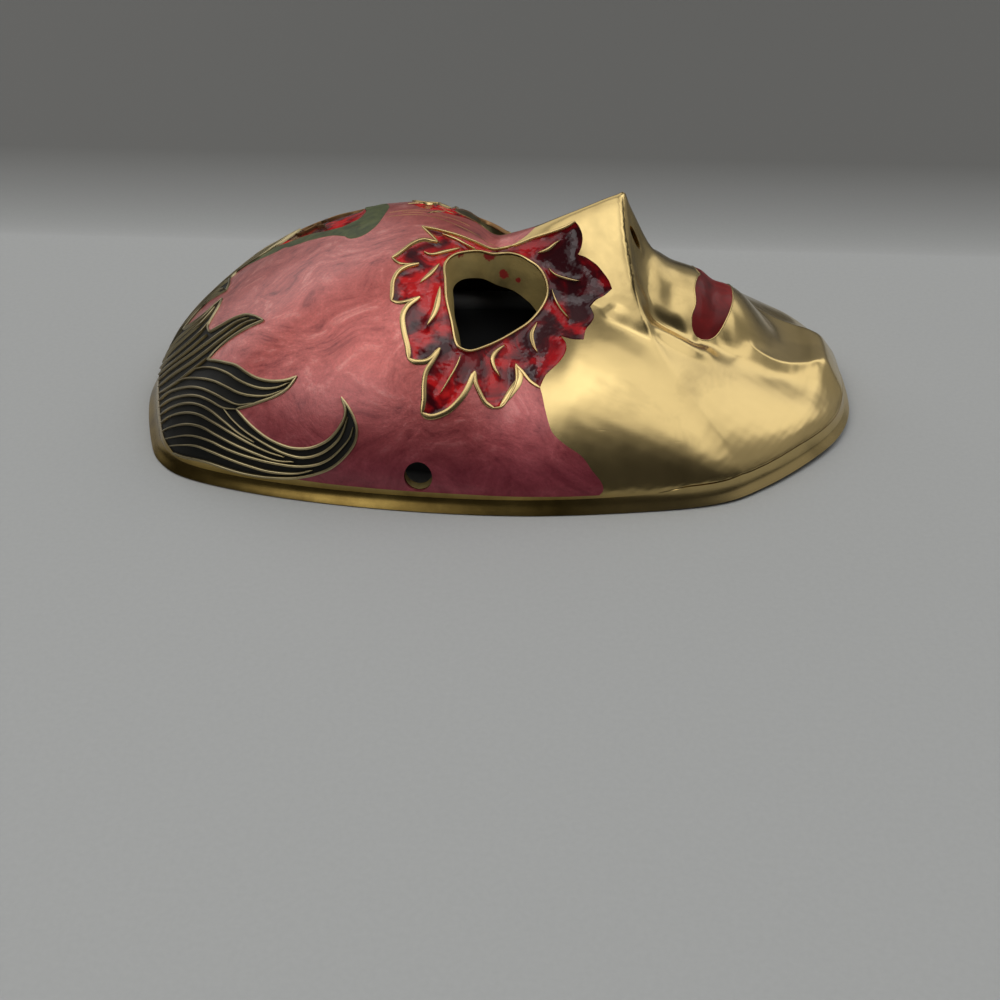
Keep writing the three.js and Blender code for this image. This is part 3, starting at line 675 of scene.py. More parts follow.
def make_skin_plane():
    """Triangulated outside of the mask with every border between finishes in its edges."""
    plane = Plane()
    plane.add_line(rim_loop, closed=True)
    for side in (1, -1):
        for loop in (eye_loops[side], tie_loops[side], wreath_loops[side]):
            plane.add_line(loop, closed=True)
        plane.add_points(inset_line(wreath_loops[side], FLOOR_RAMP))
        for loop in nostril_loops[side]:
            plane.add_line(loop, closed=True)
    plane.add_line(hair_loop, closed=True)
    plane.add_points(inset_line(hair_loop, FLOOR_RAMP))
    for loop in (leaf_loop, flower_loop, lip_loop):
        plane.add_line(loop, closed=True)
    plane.add_points(inset_line(lip_loop, FLOOR_RAMP))
    plane.add_line(parting)
    for line, _, _ in FOLDS:
        for side in (1, -1):
            plane.add_line(curve(on_side(line, side), 0.4))
    for line in rose_lines:
        plane.add_line(line)
    rose_inset = inset_line(rose_loop, FLOOR_RAMP)
    rose_inset = rose_inset[nearest(rose_inset, np.vstack(rose_lines)) < 0.5]
    others = np.vstack([wreath_loops[1], wreath_loops[-1], hair_loop])
    plane.add_points(spaced_from(rose_inset, others, 0.6))
    lines = plane.fixed()
    coarse = hex_grid((-SPAN_U, -SPAN_V), (SPAN_U, SPAN_V), COARSE)
    folds = hex_grid((2, -70), (SPAN_U, 70), FINE_FOLDS)
    for loop, spacing in ((wreath_loops[1], FINE_WREATH), (wreath_loops[-1], FINE_WREATH),
                          (hair_loop, FINE_HAIR), (lip_loop, FINE_LIPS)):
        grid = hex_grid(loop.min(0), loop.max(0), spacing)
        grid = grid[inside_polygon(grid, loop)]
        plane.add_points(spaced_from(grid, lines, spacing * 0.55))
        coarse = coarse[~inside_polygon(coarse, loop)]
        folds = folds[~inside_polygon(folds, loop)]
    folds = folds[from_rim(folds) > 0.35]
    folds = folds[near_folds(folds) < 1]
    plane.add_points(spaced_from(folds, lines, FINE_FOLDS * 0.55))
    coarse = coarse[near_folds(coarse) >= 1]
    reach = plan_of(coarse)[1]
    coarse = coarse[np.hypot(coarse[:, 0], coarse[:, 1]) / (UNFOLD * reach) < 0.995]
    plane.add_points(spaced_from(coarse, lines, COARSE * 0.5))
    uv, faces = plane.triangulate()
    faces = counter_clockwise(uv, faces)
    middle = uv[faces].mean(1)
    holes = ~inside_polygon(middle, rim_loop)
    for side in (1, -1):
        holes |= inside_polygon(middle, eye_loops[side]) | inside_polygon(middle, tie_loops[side])
    return uv, faces[~holes], middle[~holes]


BRASS, ROSE, RED, BLACK, GREEN, LIPS = range(6)


def zones_of(middle):
    """Finish of each face, from where its middle lies."""
    zone = np.full(len(middle), BRASS)
    zone[inside_polygon(middle, rose_loop)] = ROSE
    zone[inside_polygon(middle, flower_loop)] = RED
    zone[inside_polygon(middle, leaf_loop)] = GREEN
    zone[inside_polygon(middle, hair_loop)] = BLACK
    for side in (1, -1):
        zone[inside_polygon(middle, wreath_loops[side])] = RED
    zone[inside_polygon(middle, lip_loop)] = LIPS
    return zone


def nearest_along(points, path):
    """Distance to a path, and how far along it the nearest point is (0 to 1)."""
    samples = evenly(path, 0.15)
    found = find_each(points, samples)
    return np.array([f[2] for f in found]), np.array([f[1] for f in found]) / (len(samples) - 1)


def relief(uv):
    """Height of the modelling of bare brass and lips over the plain skin."""
    rise = np.zeros(len(uv))
    for line, height, half in FOLDS:
        for side in (1, -1):
            path = curve(on_side(line, side))
            near = close_to(uv, path, 3 * half)
            d, share = nearest_along(uv[near], path)
            start = 1 if line[0][1] == 0 else ease(0, 0.12, share)
            rise[near] += height * np.exp(-((d / half) ** 2)) * start * ease(1, 0.85, share)
    in_lips = inside_polygon(uv, lip_loop)
    edge = nearest(uv[in_lips], evenly(ring(lip_loop), 0.15))
    width = np.maximum(edge + nearest(uv[in_lips], evenly(parting, 0.15)), 1e-6)
    share = edge / width
    swell = np.sin(math.pi * share**0.8) - 0.55 * share**3
    rise[in_lips] += LIP_RISE * np.clip(width / 3.2, 0, 1) * swell
    depth_in = np.clip(from_rim(uv) / GROOVE_REACH, 0, 1)
    rise -= GROOVE_DEPTH * ease(44, 74, uv[:, 0]) * np.sin(math.pi * depth_in) ** 2
    for side in (1, -1):
        du = (uv[:, 0] - NOSTRIL[0]) / NOSTRIL_HALF[0]
        dv = (uv[:, 1] - NOSTRIL[1] * side) / NOSTRIL_HALF[1]
        away = np.hypot(du, dv)
        rise += 0.18 * np.exp(-(((away - 1.35) / 0.25) ** 2)) - NOSTRIL_DEPTH * ease(0.99, 0.8, away)
    return rise


def gentle_waves(uv, amount):
    """Small uneven swell, the same on every run."""
    u, v = uv[:, 0], uv[:, 1]
    waves = np.sin(1.9 * u + 0.7 * np.sin(1.3 * v)) * np.cos(1.6 * v + 0.9 * np.sin(0.8 * u + 1.0))
    waves = waves + 0.6 * np.sin(3.7 * u + 2.1 * v + 1.3) * np.sin(2.9 * v - 1.7 * u)
    return amount * waves


def boundary_edges(faces):
    """Directed edges that only one face uses."""
    edges = np.vstack([faces[:, [0, 1]], faces[:, [1, 2]], faces[:, [2, 0]]])
    used = dict.fromkeys(map(tuple, edges.tolist()))
    return [(a, b) for a, b in used if (b, a) not in used]


def add_object(name, points, faces, materials, face_material=None, smooth_angle=LINE_SHARP):
    mesh = bpy.data.meshes.new(name)
    mesh.from_pydata((np.asarray(points) * MM).tolist(), [], [list(map(int, f)) for f in faces])
    mesh.validate(clean_customdata=False)
    for material in materials:
        mesh.materials.append(material)
    if face_material is not None:
        mesh.polygons.foreach_set("material_index", np.asarray(face_material, np.int32))
    mesh.shade_smooth()
    mesh.set_sharp_from_angle(angle=math.radians(smooth_angle))
    mesh.update()
    piece = bpy.data.objects.new(name, mesh)
    bpy.context.scene.collection.objects.link(piece)
    return piece


def pour(name, uv, faces, top, bottom, material):
    """Closed slab over some faces of the skin, between two sets of points."""
    used = np.unique(faces)
    at = np.full(len(uv), -1)
    at[used] = np.arange(len(used))
    n = len(used)
    made = [tuple(at[list(f)]) for f in faces]
    made += [tuple(at[[c, b, a]] + n) for a, b, c in faces]
    for a, b in boundary_edges(faces):
        i, j = at[a], at[b]
        made += [(i, i + n, j + n), (i, j + n, j)]
    return add_object(name, np.vstack([top[used], bottom[used]]), made, [material])


def make_inside_plane():
    """Triangulated inside of the mask, with the eyes and the tie holes left open."""
    plane = Plane()
    plane.add_line(rim_loop, closed=True)
    eye_inner, tie_inner = {}, {}
    for side in (1, -1):
        outer = outside(eye_loops[side])[:, :2]
        centre = np.array([EYE_CENTRE[0], EYE_CENTRE[1] * side])
        eye_inner[side] = unfold(centre + (outer - centre) * (1 - EYE_DRAFT), WALL)
        tie_inner[side] = tie_circle(inside, WALL, side)
        plane.add_line(eye_inner[side], closed=True)
        plane.add_line(tie_inner[side], closed=True)
    lines = plane.fixed()
    grid = hex_grid(rim_loop.min(0), rim_loop.max(0), INSIDE_SPACING)
    grid = grid[inside_polygon(grid, rim_loop)]
    plane.add_points(spaced_from(grid, lines, INSIDE_SPACING * 0.5))
    uv, faces = plane.triangulate()
    faces = counter_clockwise(uv, faces)
    middle = uv[faces].mean(1)
    keep = inside_polygon(middle, rim_loop)
    for side in (1, -1):
        keep &= ~inside_polygon(middle, eye_inner[side])
        keep &= ~inside_polygon(middle, tie_inner[side])
    return uv, faces[keep], eye_inner, tie_inner


FACE_SLOT, WALL_SLOT, INSIDE_SLOT = range(3)


def indices_of(uv, loop):
    """Where the points of a loop are in a list of points."""
    return [found[1] for found in find_each(loop, uv)]


# Profile of the rim band: distance in from the outline and height over its foot.
BAND_PROFILE = [(1.62, 2.0), (1.16, 1.45), (0.7, 0.95), (0.28, 0.5), (0.03, 0.2), (0.2, 0.0)]
BAND_FOOT = [(4.7, 0.0), (5.15, 0.35)]


def make_casting(uv, faces, level, materials):
    outer = outside(uv) + normals(uv) * level[:, None]
    inner_uv, inner_faces, eye_inner, tie_inner = make_inside_plane()
    inner = inside(inner_uv)
    points = [outer, inner]
    base = len(outer)
    count = base + len(inner)
    made = [tuple(f) for f in faces]
    slots = [FACE_SLOT] * len(faces)
    made += [(c + base, b + base, a + base) for a, b, c in inner_faces]
    slots += [INSIDE_SLOT] * len(inner_faces)

    def join(rings, slot, turned=False):
        for upper_ring, lower_ring in zip(rings, rings[1:]):
            n = len(upper_ring)
            for i in range(n):
                j = (i + 1) % n
                quad = (upper_ring[i], lower_ring[i], lower_ring[j], upper_ring[j])
                made.append(quad[::-1] if turned else quad)
                slots.append(slot)

    rim_outer = indices_of(uv, rim_loop)
    rim_inner = [i + base for i in indices_of(inner_uv, rim_loop)]
    rings = [rim_outer]
    reach = rim_radius(rim_bearing)
    lift = chin_lift(reach * np.cos(rim_bearing))
    for inset, height in BAND_PROFILE + BAND_FOOT:
        x, y = (reach - inset) * np.cos(rim_bearing), (reach - inset) * np.sin(rim_bearing)
        points.append(np.stack([x, y, height + lift], 1))
        rings.append(list(range(count, count + RIM_POINTS)))
        count += RIM_POINTS
    rings.append(rim_inner)
    foot = len(BAND_PROFILE)
    join(rings[:foot + 1], FACE_SLOT)
    join(rings[foot:], INSIDE_SLOT)
    for side in (1, -1):
        eye = (eye_loops[side], eye_inner[side], 6)
        tie = (tie_loops[side], tie_inner[side], 3)
        for loop, inner_loop, steps in (eye, tie):
            top = indices_of(uv, loop)
            end = [i + base for i in indices_of(inner_uv, inner_loop)]
            start_points, end_points = outer[top], inner[np.array(end) - base]
            wall = [top]
            for k in range(1, steps):
                points.append(start_points + (end_points - start_points) * k / steps)
                wall.append(list(range(count, count + len(loop))))
                count += len(loop)
            wall.append(end)
            join(wall, WALL_SLOT, turned=side > 0)
    piece = add_object("casting", np.vstack(points), made, materials, slots, CASTING_SHARP)
    on_rim = set(rim_outer)
    for edge in piece.data.edges:
        if edge.vertices[0] in on_rim and edge.vertices[1] in on_rim:
            edge.use_edge_sharp = True
    return piece


# Raised brass lines: how far they go down into the casting, and the drop from middle to edge.
LINE_ROOT = 0.9
LINE_SHOULDER = 0.16


def strip(line, width, height, closed=False):
    """Closed raised line along the skin; the width is a number or one value for each point."""
    centre = outside(line)
    normal = normals(line)
    if closed:
        tangent = np.roll(centre, -1, axis=0) - np.roll(centre, 1, axis=0)
    else:
        tangent = np.gradient(centre, axis=0)
    across = unit(np.cross(normal, unit(tangent)))
    count = len(line)
    width = np.broadcast_to(np.asarray(width, float), count).copy()
    if not closed:
        run = np.concatenate([[0], np.cumsum(np.linalg.norm(np.diff(centre, axis=0), axis=1))])
        from_end = np.minimum(run, run[-1] - run)
        width *= 0.5 + 0.5 * ease(0, 1.0, from_end)
    shoulder = height - LINE_SHOULDER
    side = height - 0.3 * LINE_SHOULDER
    section = [(-0.5, -LINE_ROOT), (-0.5, shoulder), (-0.36, side), (0, height),
               (0.36, side), (0.5, shoulder), (0.5, -LINE_ROOT)]
    rows = [centre + across * (offset * width)[:, None] + normal * up for offset, up in section]
    m = len(section)
    points = np.stack(rows, 1).reshape(-1, 3)
    faces = []
    last = count if closed else count - 1
    for i in range(last):
        j = (i + 1) % count
        for k in range(m):
            q = (k + 1) % m
            faces.append((i * m + k, i * m + q, j * m + q, j * m + k))
    if not closed:
        faces.append(tuple(range(m - 1, -1, -1)))
        faces.append(tuple((count - 1) * m + k for k in range(m)))
    return points, faces


def join_parts(name, parts, material):
    points, faces, start = [], [], 0
    for p, f in parts:
        points.append(p)
        faces += [tuple(i + start for i in face) for face in f]
        start += len(p)
    return add_object(name, np.vstack(points), faces, [material])


def strand_width(path):
    """Thin at the rim, fuller along the lock, thin again at the tip."""
    t = np.linspace(0, 1, len(path))
    return 0.3 + 0.26 * ease(0.05, 0.45, t) - 0.26 * ease(0.75, 1, t)


def clear_of_hair(line):
    """The runs of a line that don't lie on the locks of hair."""
    clear = ~inside_polygon(line, hair_loop)
    turns = np.flatnonzero(clear[1:] != clear[:-1]) + 1
    runs = [run for run in np.split(line, turns) if len(run) > 3]
    return [run for run in runs if not inside_polygon(run, hair_loop).any()]


def leaf_width(count, widest, least=0.22):
    """Thin at both ends and widest in the middle."""
    return least + (widest - least) * np.sin(math.pi * np.linspace(0, 1, count)) ** 0.8


# Materials.

def new_material(name):
    material = bpy.data.materials.new(name)
    material.use_nodes = True
    tree = material.node_tree
    return material, tree, tree.nodes["Principled BSDF"]


def plug(shader, socket, value):
    """Drive one socket of a shader by the output of another node."""
    shader.id_data.links.new(value, shader.inputs[socket])


def node(tree, kind, inputs=None, **settings):
    """A new node with its settings, and its inputs set to values or linked to sockets."""
    made = tree.nodes.new(kind)
    for key, value in settings.items():
        setattr(made, key, value)
    for key, value in (inputs or {}).items():
        if isinstance(value, bpy.types.NodeSocket):
            tree.links.new(value, made.inputs[key])
        else:
            made.inputs[key].default_value = value
    return made


def calc(tree, operation, *values):
    """Sum, product and the like of sockets or numbers."""
    return node(tree, "ShaderNodeMath", dict(enumerate(values)), operation=operation).outputs["Value"]


def vector_calc(tree, operation, first, second):
    """The node for a sum, product and the like of two vectors."""
    return node(tree, "ShaderNodeVectorMath", {0: first, 1: second}, operation=operation)


def object_place(tree):
    """Object coordinates, in metres."""
    return node(tree, "ShaderNodeTexCoord").outputs["Object"]


def ramp(tree, factor, stops):
    made = node(tree, "ShaderNodeValToRGB", {"Fac": factor})
    elements = made.color_ramp.elements
    while len(elements) < len(stops):
        elements.new(0.5)
    for element, (place, colour) in zip(elements, stops):
        element.position = place
        element.color = (*colour, 1)
    return made.outputs["Color"]


def coordinates(tree, scale=(1, 1, 1), turn=(0, 0, 0)):
    turned = {"Vector": object_place(tree), "Scale": scale, "Rotation": turn}
    return node(tree, "ShaderNodeMapping", turned).outputs["Vector"]


def noise(tree, scale, detail=4, rough=0.55, distortion=0.0, at=None):
    """Cloudy noise at given coordinates, by default the object's own."""
    return node(tree, "ShaderNodeTexNoise", {
        "Vector": at or coordinates(tree), "Scale": scale, "Detail": detail, "Roughness": rough,
        "Distortion": distortion}).outputs["Fac"]


def brushed_noise(tree):
    """Fine grain drawn out along the mask."""
    return noise(tree, 1000, 4, 0.6, at=coordinates(tree, (0.35, 1, 1)))


def spread(tree, value, low, high, to_low=0.0, to_high=1.0):
    """The value carried from one range to another, held at its ends."""
    made = node(tree, "ShaderNodeMapRange", {
        "Value": value, "From Min": low, "From Max": high, "To Min": to_low, "To Max": to_high})
    return made.outputs["Result"]


def bump(tree, height, strength, distance):
    made = node(tree, "ShaderNodeBump", {"Height": height, "Strength": strength, "Distance": distance})
    return made.outputs["Normal"]


# Places of the factor and the two colours among the sockets of a Mix node.
MIX_SOCKETS = (0, 6, 7)


def mix(tree, factor, first, second, blend="MIX"):
    """Two colours mixed by a factor; each of the three is a socket or a plain value."""
    made = node(tree, "ShaderNodeMix", data_type="RGBA", blend_type=blend)
    for socket, value in zip([made.inputs[i] for i in MIX_SOCKETS], (factor, first, second)):
        if isinstance(value, bpy.types.NodeSocket):
            tree.links.new(value, socket)
        else:
            socket.default_value = value if isinstance(value, float) else (*value, 1)
    return made.outputs[2]


def axis_value(tree, axis):
    """Object coordinate along one axis, in metres."""
    return node(tree, "ShaderNodeSeparateXYZ", {"Vector": object_place(tree)}).outputs[axis]


def spot(tree, centre, radius):
    """One inside a ball with an uneven edge, nothing outside it."""
    away = vector_calc(tree, "DISTANCE", object_place(tree), [c * MM for c in centre])
    ragged = spread(tree, noise(tree, 900, 2), 0.3, 0.7, -0.3 * radius * MM, 0.3 * radius * MM)
    return spread(tree, calc(tree, "ADD", away.outputs["Value"], ragged), radius * MM, radius * 0.7 * MM)


def brass(name, colour, rough, grain=0.12, cloud_depth=0.12):
    """Old brass: brushed grain, faint clouds of tarnish and worn patches."""
    material, tree, shader = new_material(name)
    cloud = noise(tree, 45, 5, 0.55, 0.4)
    darker = [c * (1 - 3.2 * cloud_depth) for c in colour]
    lighter = [min(c * (1 + 0.5 * cloud_depth), 1) for c in colour]
    base = ramp(tree, cloud, [(0.3, darker), (0.5, colour), (0.7, lighter)])
    plug(shader, "Base Color", base)
    shader.inputs["Metallic"].default_value = 1.0
    wear = spread(tree, noise(tree, 160, 5, 0.6), 0.3, 0.7, rough * 0.88, rough * 1.14)
    plug(shader, "Roughness", wear)
    plug(shader, "Normal", bump(tree, brushed_noise(tree), grain, 0.00004))
    return material, tree, shader, base


def polished_face():
    """Bare brass of face and rim: bright above, olive and duller along the rim, a few long scratches."""
    material, tree, shader, base = brass("brass_face", (0.575, 0.43, 0.188), 0.22)
    near_rim = spread(tree, axis_value(tree, "Z"), 0.0062, 0.0030)
    rim_cloud = noise(tree, 140, 5, 0.6)
    olive = ramp(tree, rim_cloud, [(0.3, (0.17, 0.110, 0.030)), (0.7, (0.36, 0.245, 0.070))])
    towards_chin = spread(tree, axis_value(tree, "X"), 0.015, 0.050, 1.0, 0.1)
    tarnish = calc(tree, "MULTIPLY", near_rim, towards_chin)
    plug(shader, "Base Color", mix(tree, tarnish, base, olive))
    scratch = noise(tree, 1500, 2, 0.4, 0.3, coordinates(tree, (0.05, 1, 1), (0.2, 0.1, 1.0)))
    height = calc(tree, "SUBTRACT", brushed_noise(tree), spread(tree, scratch, 0.70, 0.76))
    plug(shader, "Normal", bump(tree, height, 0.10, 0.00004))
    return material


# Drops of red enamel on the walls of the eye holes: centre and radius.
RED_SPLASHES = [
    ((-7.9, -10.1, 38.9), 1.2), ((-1.7, -5.7, 36.3), 1.5), ((1.7, -6.3, 32.3), 1.2),
    ((4.8, -8.2, 31.5), 0.8), ((-5.6, 11.0, 36.4), 1.2), ((1.5, 8.6, 33.6), 1.3),
]


def eye_wall():
    """Rough cast wall of the eye and tie holes, olive, pitted and splashed with red, with painted shade on
    the mask's left.
    """
    material, tree, shader, base = brass("brass_wall", (0.64, 0.49, 0.19), 0.5, 0.2, 0.2)
    pits = noise(tree, 700, 5, 0.7)
    plug(shader, "Normal", bump(tree, pits, 0.5, 0.00025))
    splashes = 0.0
    for centre, radius in RED_SPLASHES:
        splashes = calc(tree, "MAXIMUM", splashes, spot(tree, centre, radius))
    # Painted shade: the walls on the mask's left, the far side, are darker.
    left = spread(tree, axis_value(tree, "Y"), 0.001, 0.006)
    tone = mix(tree, left, base, (0.10, 0.085, 0.035))
    plug(shader, "Base Color", mix(tree, splashes, tone, (0.36, 0.02, 0.015)))
    plug(shader, "Metallic", spread(tree, splashes, 0, 1, 0.6, 0.1))
    return material


def strand_brass():
    """Brass of the strands, duller and darker towards the forehead end."""
    material, tree, shader, base = brass("brass_strand", (0.56, 0.46, 0.25), 0.3, 0.2, 0.15)
    tone = spread(tree, axis_value(tree, "X"), -0.080, -0.040, 0.15, 1.0)
    grey = mix(tree, tone, (0.21, 0.18, 0.12), base)
    plug(shader, "Base Color", grey)
    return material


def glassy(shader, coat_rough, coat=1.0):
    shader.inputs["Coat Weight"].default_value = coat
    shader.inputs["Coat Roughness"].default_value = coat_rough
    shader.inputs["Coat IOR"].default_value = 1.5


def curled(tree, scale, amount, stretch):
    """Object coordinates bent by a slow noise, so that streaks run in curls."""
    place = object_place(tree)
    slow = node(tree, "ShaderNodeTexNoise", {"Vector": place, "Scale": scale, "Detail": 1.5})
    centred = vector_calc(tree, "SUBTRACT", slow.outputs["Color"], (0.5, 0.5, 0.5))
    away = vector_calc(tree, "MULTIPLY", centred.outputs["Vector"], (amount, amount, amount))
    moved = vector_calc(tree, "ADD", place, away.outputs["Vector"])
    drawn_out = {"Vector": moved.outputs["Vector"], "Scale": stretch}
    return node(tree, "ShaderNodeMapping", drawn_out).outputs["Vector"]


def rose():
    """Pearly rose: fine flakes laid down in curling brush strokes, with painted shade making it deeper red
    towards the rim.
    """
    material, tree, shader = new_material("rose_enamel")
    bend = noise(tree, 30, 2, 0.5, 0.8)
    stroke = noise(tree, 260, 6, 0.68, at=curled(tree, 42, 0.040, (0.4, 1, 1)))
    fine = noise(tree, 1500, 3, 0.7)
    colour = ramp(tree, stroke, [(0.30, (0.25, 0.026, 0.024)), (0.42, (0.50, 0.090, 0.076)),
                                 (0.56, (0.64, 0.140, 0.118)), (0.70, (0.80, 0.29, 0.25))])
    # Painted shade: a deeper, darker red low down towards the rim.
    deep = ramp(tree, stroke, [(0.3, (0.22, 0.018, 0.034)), (0.7, (0.44, 0.070, 0.095))])
    low = spread(tree, axis_value(tree, "Z"), 0.026, 0.008)
    base = mix(tree, low, colour, deep)
    grain = ramp(tree, fine, [(0.3, (0.80, 0.80, 0.80)), (0.7, (1.15, 1.15, 1.15))])
    plug(shader, "Base Color", mix(tree, 0.8, base, grain, "MULTIPLY"))
    shader.inputs["Metallic"].default_value = 0.55
    plug(shader, "Roughness", spread(tree, bend, 0.3, 0.7, 0.36, 0.48))
    glassy(shader, 0.27, 0.85)
    both = calc(tree, "MULTIPLY_ADD", fine, 0.05, calc(tree, "MULTIPLY", stroke, 0.12))
    plug(shader, "Normal", bump(tree, both, 0.9, 0.0010))
    return material


def garnet():
    """Clear dark red glass: bright where it lies thin, as painted light, and purple-brown on the nose side,
    as painted shade.
    """
    material, tree, shader = new_material("red_enamel")
    patch = noise(tree, 150, 3, 0.5, 0.8)
    # Painted light: bright red patches where light shows through the glass.
    bright = ramp(tree, patch, [(0.38, (0.05, 0.002, 0.005)), (0.48, (0.20, 0.004, 0.008)),
                                (0.60, (0.70, 0.014, 0.016))])
    brown = ramp(tree, patch, [(0.42, (0.045, 0.007, 0.010)), (0.54, (0.12, 0.006, 0.010)),
                               (0.66, (0.48, 0.008, 0.013))])
    # Painted shade: purple-brown towards the nose.
    towards_nose = spread(tree, axis_value(tree, "X"), 0.001, 0.009)
    plug(shader, "Base Color", mix(tree, towards_nose, bright, brown))
    shader.inputs["Roughness"].default_value = 0.5
    shader.inputs["Specular IOR Level"].default_value = 0.0
    glassy(shader, 0.03, 0.75)
    wave = noise(tree, 330, 2, 0.5)
    plug(shader, "Coat Normal", bump(tree, wave, 0.30, 0.0010))
    return material


def enamel(name, dark, light, scale, rough, grain, coat, coat_rough):
    """Plain enamel: swirls between two colours, a fine grain and a thin coat."""
    material, tree, shader = new_material(name)
    swirl = noise(tree, scale, 4, 0.5, 1.0)
    plug(shader, "Base Color", ramp(tree, swirl, [(0.3, dark), (0.7, light)]))
    shader.inputs["Roughness"].default_value = rough
    shader.inputs["Specular IOR Level"].default_value = 0.2
    glassy(shader, coat_rough, coat)
    fine = noise(tree, 1300, 4, 0.65)
    plug(shader, "Normal", bump(tree, fine, grain, 0.00012))
    return material


brass_face = polished_face()
brass_wall = eye_wall()
brass_inside = brass("brass_inside", (0.10, 0.072, 0.035), 0.55, 0.4, 0.2)[0]
brass_line = brass("brass_line", (0.64, 0.47, 0.21), 0.26, 0.1, 0.1)[0]
# Dark brass of the thin leaf lines, used again as painted shade on the rim of the far eye.
dark_brass_and_shade = brass("dark_brass_and_shade", (0.30, 0.17, 0.075), 0.4, 0.2, 0.2)[0]
brass_strand = strand_brass()
rose_enamel = rose()
red_enamel = garnet()
black_enamel = enamel("black_enamel", (0.005, 0.005, 0.004), (0.014, 0.013, 0.01), 90, 0.6, 0.4, 0.12, 0.35)
green_enamel = enamel("green_enamel", (0.035, 0.050, 0.014), (0.11, 0.13, 0.04), 260, 0.5, 0.6, 0.3, 0.3)
lip_enamel = enamel("lip_enamel", (0.09, 0.002, 0.002), (0.27, 0.006, 0.005), 160, 0.5, 0.2, 0.2, 0.08)

# The casting and the enamels.
uv, faces, middle = make_skin_plane()
zone = zones_of(middle)
border_parts = []
for side in (1, -1):
    border_parts += [evenly(ring(loop), 0.1) for loop in (wreath_loops[side], eye_loops[side])]
border_parts += [evenly(line, 0.15) for line in rose_lines + band_lines]
border_parts += [evenly(np.vstack([hair_half, (-80, 0)]) * (1, side), 0.15) for side in (1, -1)]
border_parts += [evenly(ring(loop), 0.15) for loop in (leaf_loop, flower_loop)]
border_parts.append(evenly(ring(lip_loop), 0.1))
lines_of_border = np.vstack(border_parts)
to_border = nearest(uv, lines_of_border)
coloured = np.zeros(len(uv), bool)
coloured[faces[zone != BRASS]] = True
bare = np.zeros(len(uv), bool)
bare[faces[zone == BRASS]] = True
modelling = relief(uv) + gentle_waves(uv * 0.35, 0.015)
on_rim = from_rim(uv) < 1e-4
modelling[on_rim] = 0
floor_level = modelling - np.where(coloured & ~bare, FLOOR_DEPTH * ease(0, FLOOR_RAMP, to_border), 0)
floor_level[on_rim] = 0
casting = make_casting(uv, faces, floor_level, [brass_face, brass_wall, brass_inside])
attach(casting, "root")
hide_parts("mask")

skin = outside(uv)
out = normals(uv)
strands = [on_side(curve(line), side) for line in STRANDS for side in (1, -1)]
veins = [wreath_side(curve(line, 0.4), side) for line, _ in VEINS for side in (1, -1)]
wall_samples = {
    ROSE: lines_of_border,
    RED: np.vstack([lines_of_border] + veins),
    BLACK: np.vstack([lines_of_border] + strands),
    GREEN: np.vstack([lines_of_border] + [curve(line, 0.2) for line in LEAF_VEINS]),
    LIPS: evenly(parting, 0.1),
}


def pour_zone(name, which, level, rise, reach, material):
    """Enamel over one finish, at its level and drawn up by rise against the brass around it."""
    picked = faces[zone == which]
    used = np.unique(picked)
    wall = np.zeros(len(uv))
    wall[used] = nearest(uv[used], wall_samples[which])
    height = modelling + level + rise * np.exp(-wall / reach)
    top = skin + out * height[:, None]
    bottom = skin + out * (modelling - FLOOR_DEPTH * 0.75)[:, None]
    piece = pour(name, uv, picked, top, bottom, material)
    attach(piece, "root")


pour_zone("enamel_rose", ROSE, ROSE_LEVEL, 0.10, 0.8, rose_enamel)
pour_zone("enamel_red", RED, RED_LEVEL, MENISCUS_RISE, MENISCUS_REACH, red_enamel)
pour_zone("enamel_black", BLACK, BLACK_LEVEL, 0.15, 0.4, black_enamel)
pour_zone("enamel_green", GREEN, GREEN_LEVEL, 0.1, 0.6, green_enamel)
pour_zone("enamel_lips", LIPS, LIP_LEVEL, 0.1, 0.4, lip_enamel)

# Raised brass lines.
petal_parts = []
for side in (1, -1):
    for k, (run, width) in enumerate(zip(wreath_runs[side], WREATH_WIDTH)):
        if width:
            low = side > 0 and k in LOW_RUNS
            petal_parts.append(strip(run, width * 0.4 if low else width, -0.06 if low else 0.34))
    for k, (line, widest) in enumerate(VEINS):
        path = wreath_side(curve(line, 0.4), side)
        low = side > 0 and k in LOW_VEINS
        petal_parts.append(strip(path, leaf_width(len(path), widest), -0.3 if low else 0.2))
petal_lines = join_parts("petal_lines", petal_parts, brass_line)
eye_rim_right = join_parts("eye_rim_right", [strip(eye_loops[-1], 0.55, 0.22, closed=True)], brass_line)
# Painted shade: the far eye's rim is in the dark brass.
eye_rim_left = join_parts("eye_rim_left", [strip(eye_loops[1], 0.45, 0.0, closed=True)], dark_brass_and_shade)
strand_parts = []
for side in (1, -1):
    for run, width in zip(hair_runs[side], HAIR_EDGE_WIDTH):
        strand_parts.append(strip(run, width * 0.85, 0.42))
for path in strands:
    strand_parts.append(strip(path, strand_width(path), 0.4))
hair_lines = join_parts("hair_strands", strand_parts, brass_strand)
leaf_parts = []
for run in leaf_runs + flower_runs:
    leaf_parts += [strip(part, 0.28, 0.02) for part in clear_of_hair(run)]
for line in LEAF_VEINS + STEM_LINES + FLOWER_VEINS:
    leaf_parts += [strip(part, 0.24, -0.02) for part in clear_of_hair(curve(line))]
leaf_lines = join_parts("leaf_lines", leaf_parts, dark_brass_and_shade)
mouth_line = join_parts("mouth_line", [strip(lip_loop, 0.4, 0.12, closed=True)], brass_line)
for piece in (petal_lines, eye_rim_right, eye_rim_left, hair_lines, leaf_lines, mouth_line):
    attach(piece, "root")

# Table, light and camera.

# The oval of table under the mask: one over its half length and half width, in metres.
MASK_SHADE = (13.0, 21.5, 0.0)
TABLE_HALF = 1500
TABLE_Z = -0.05


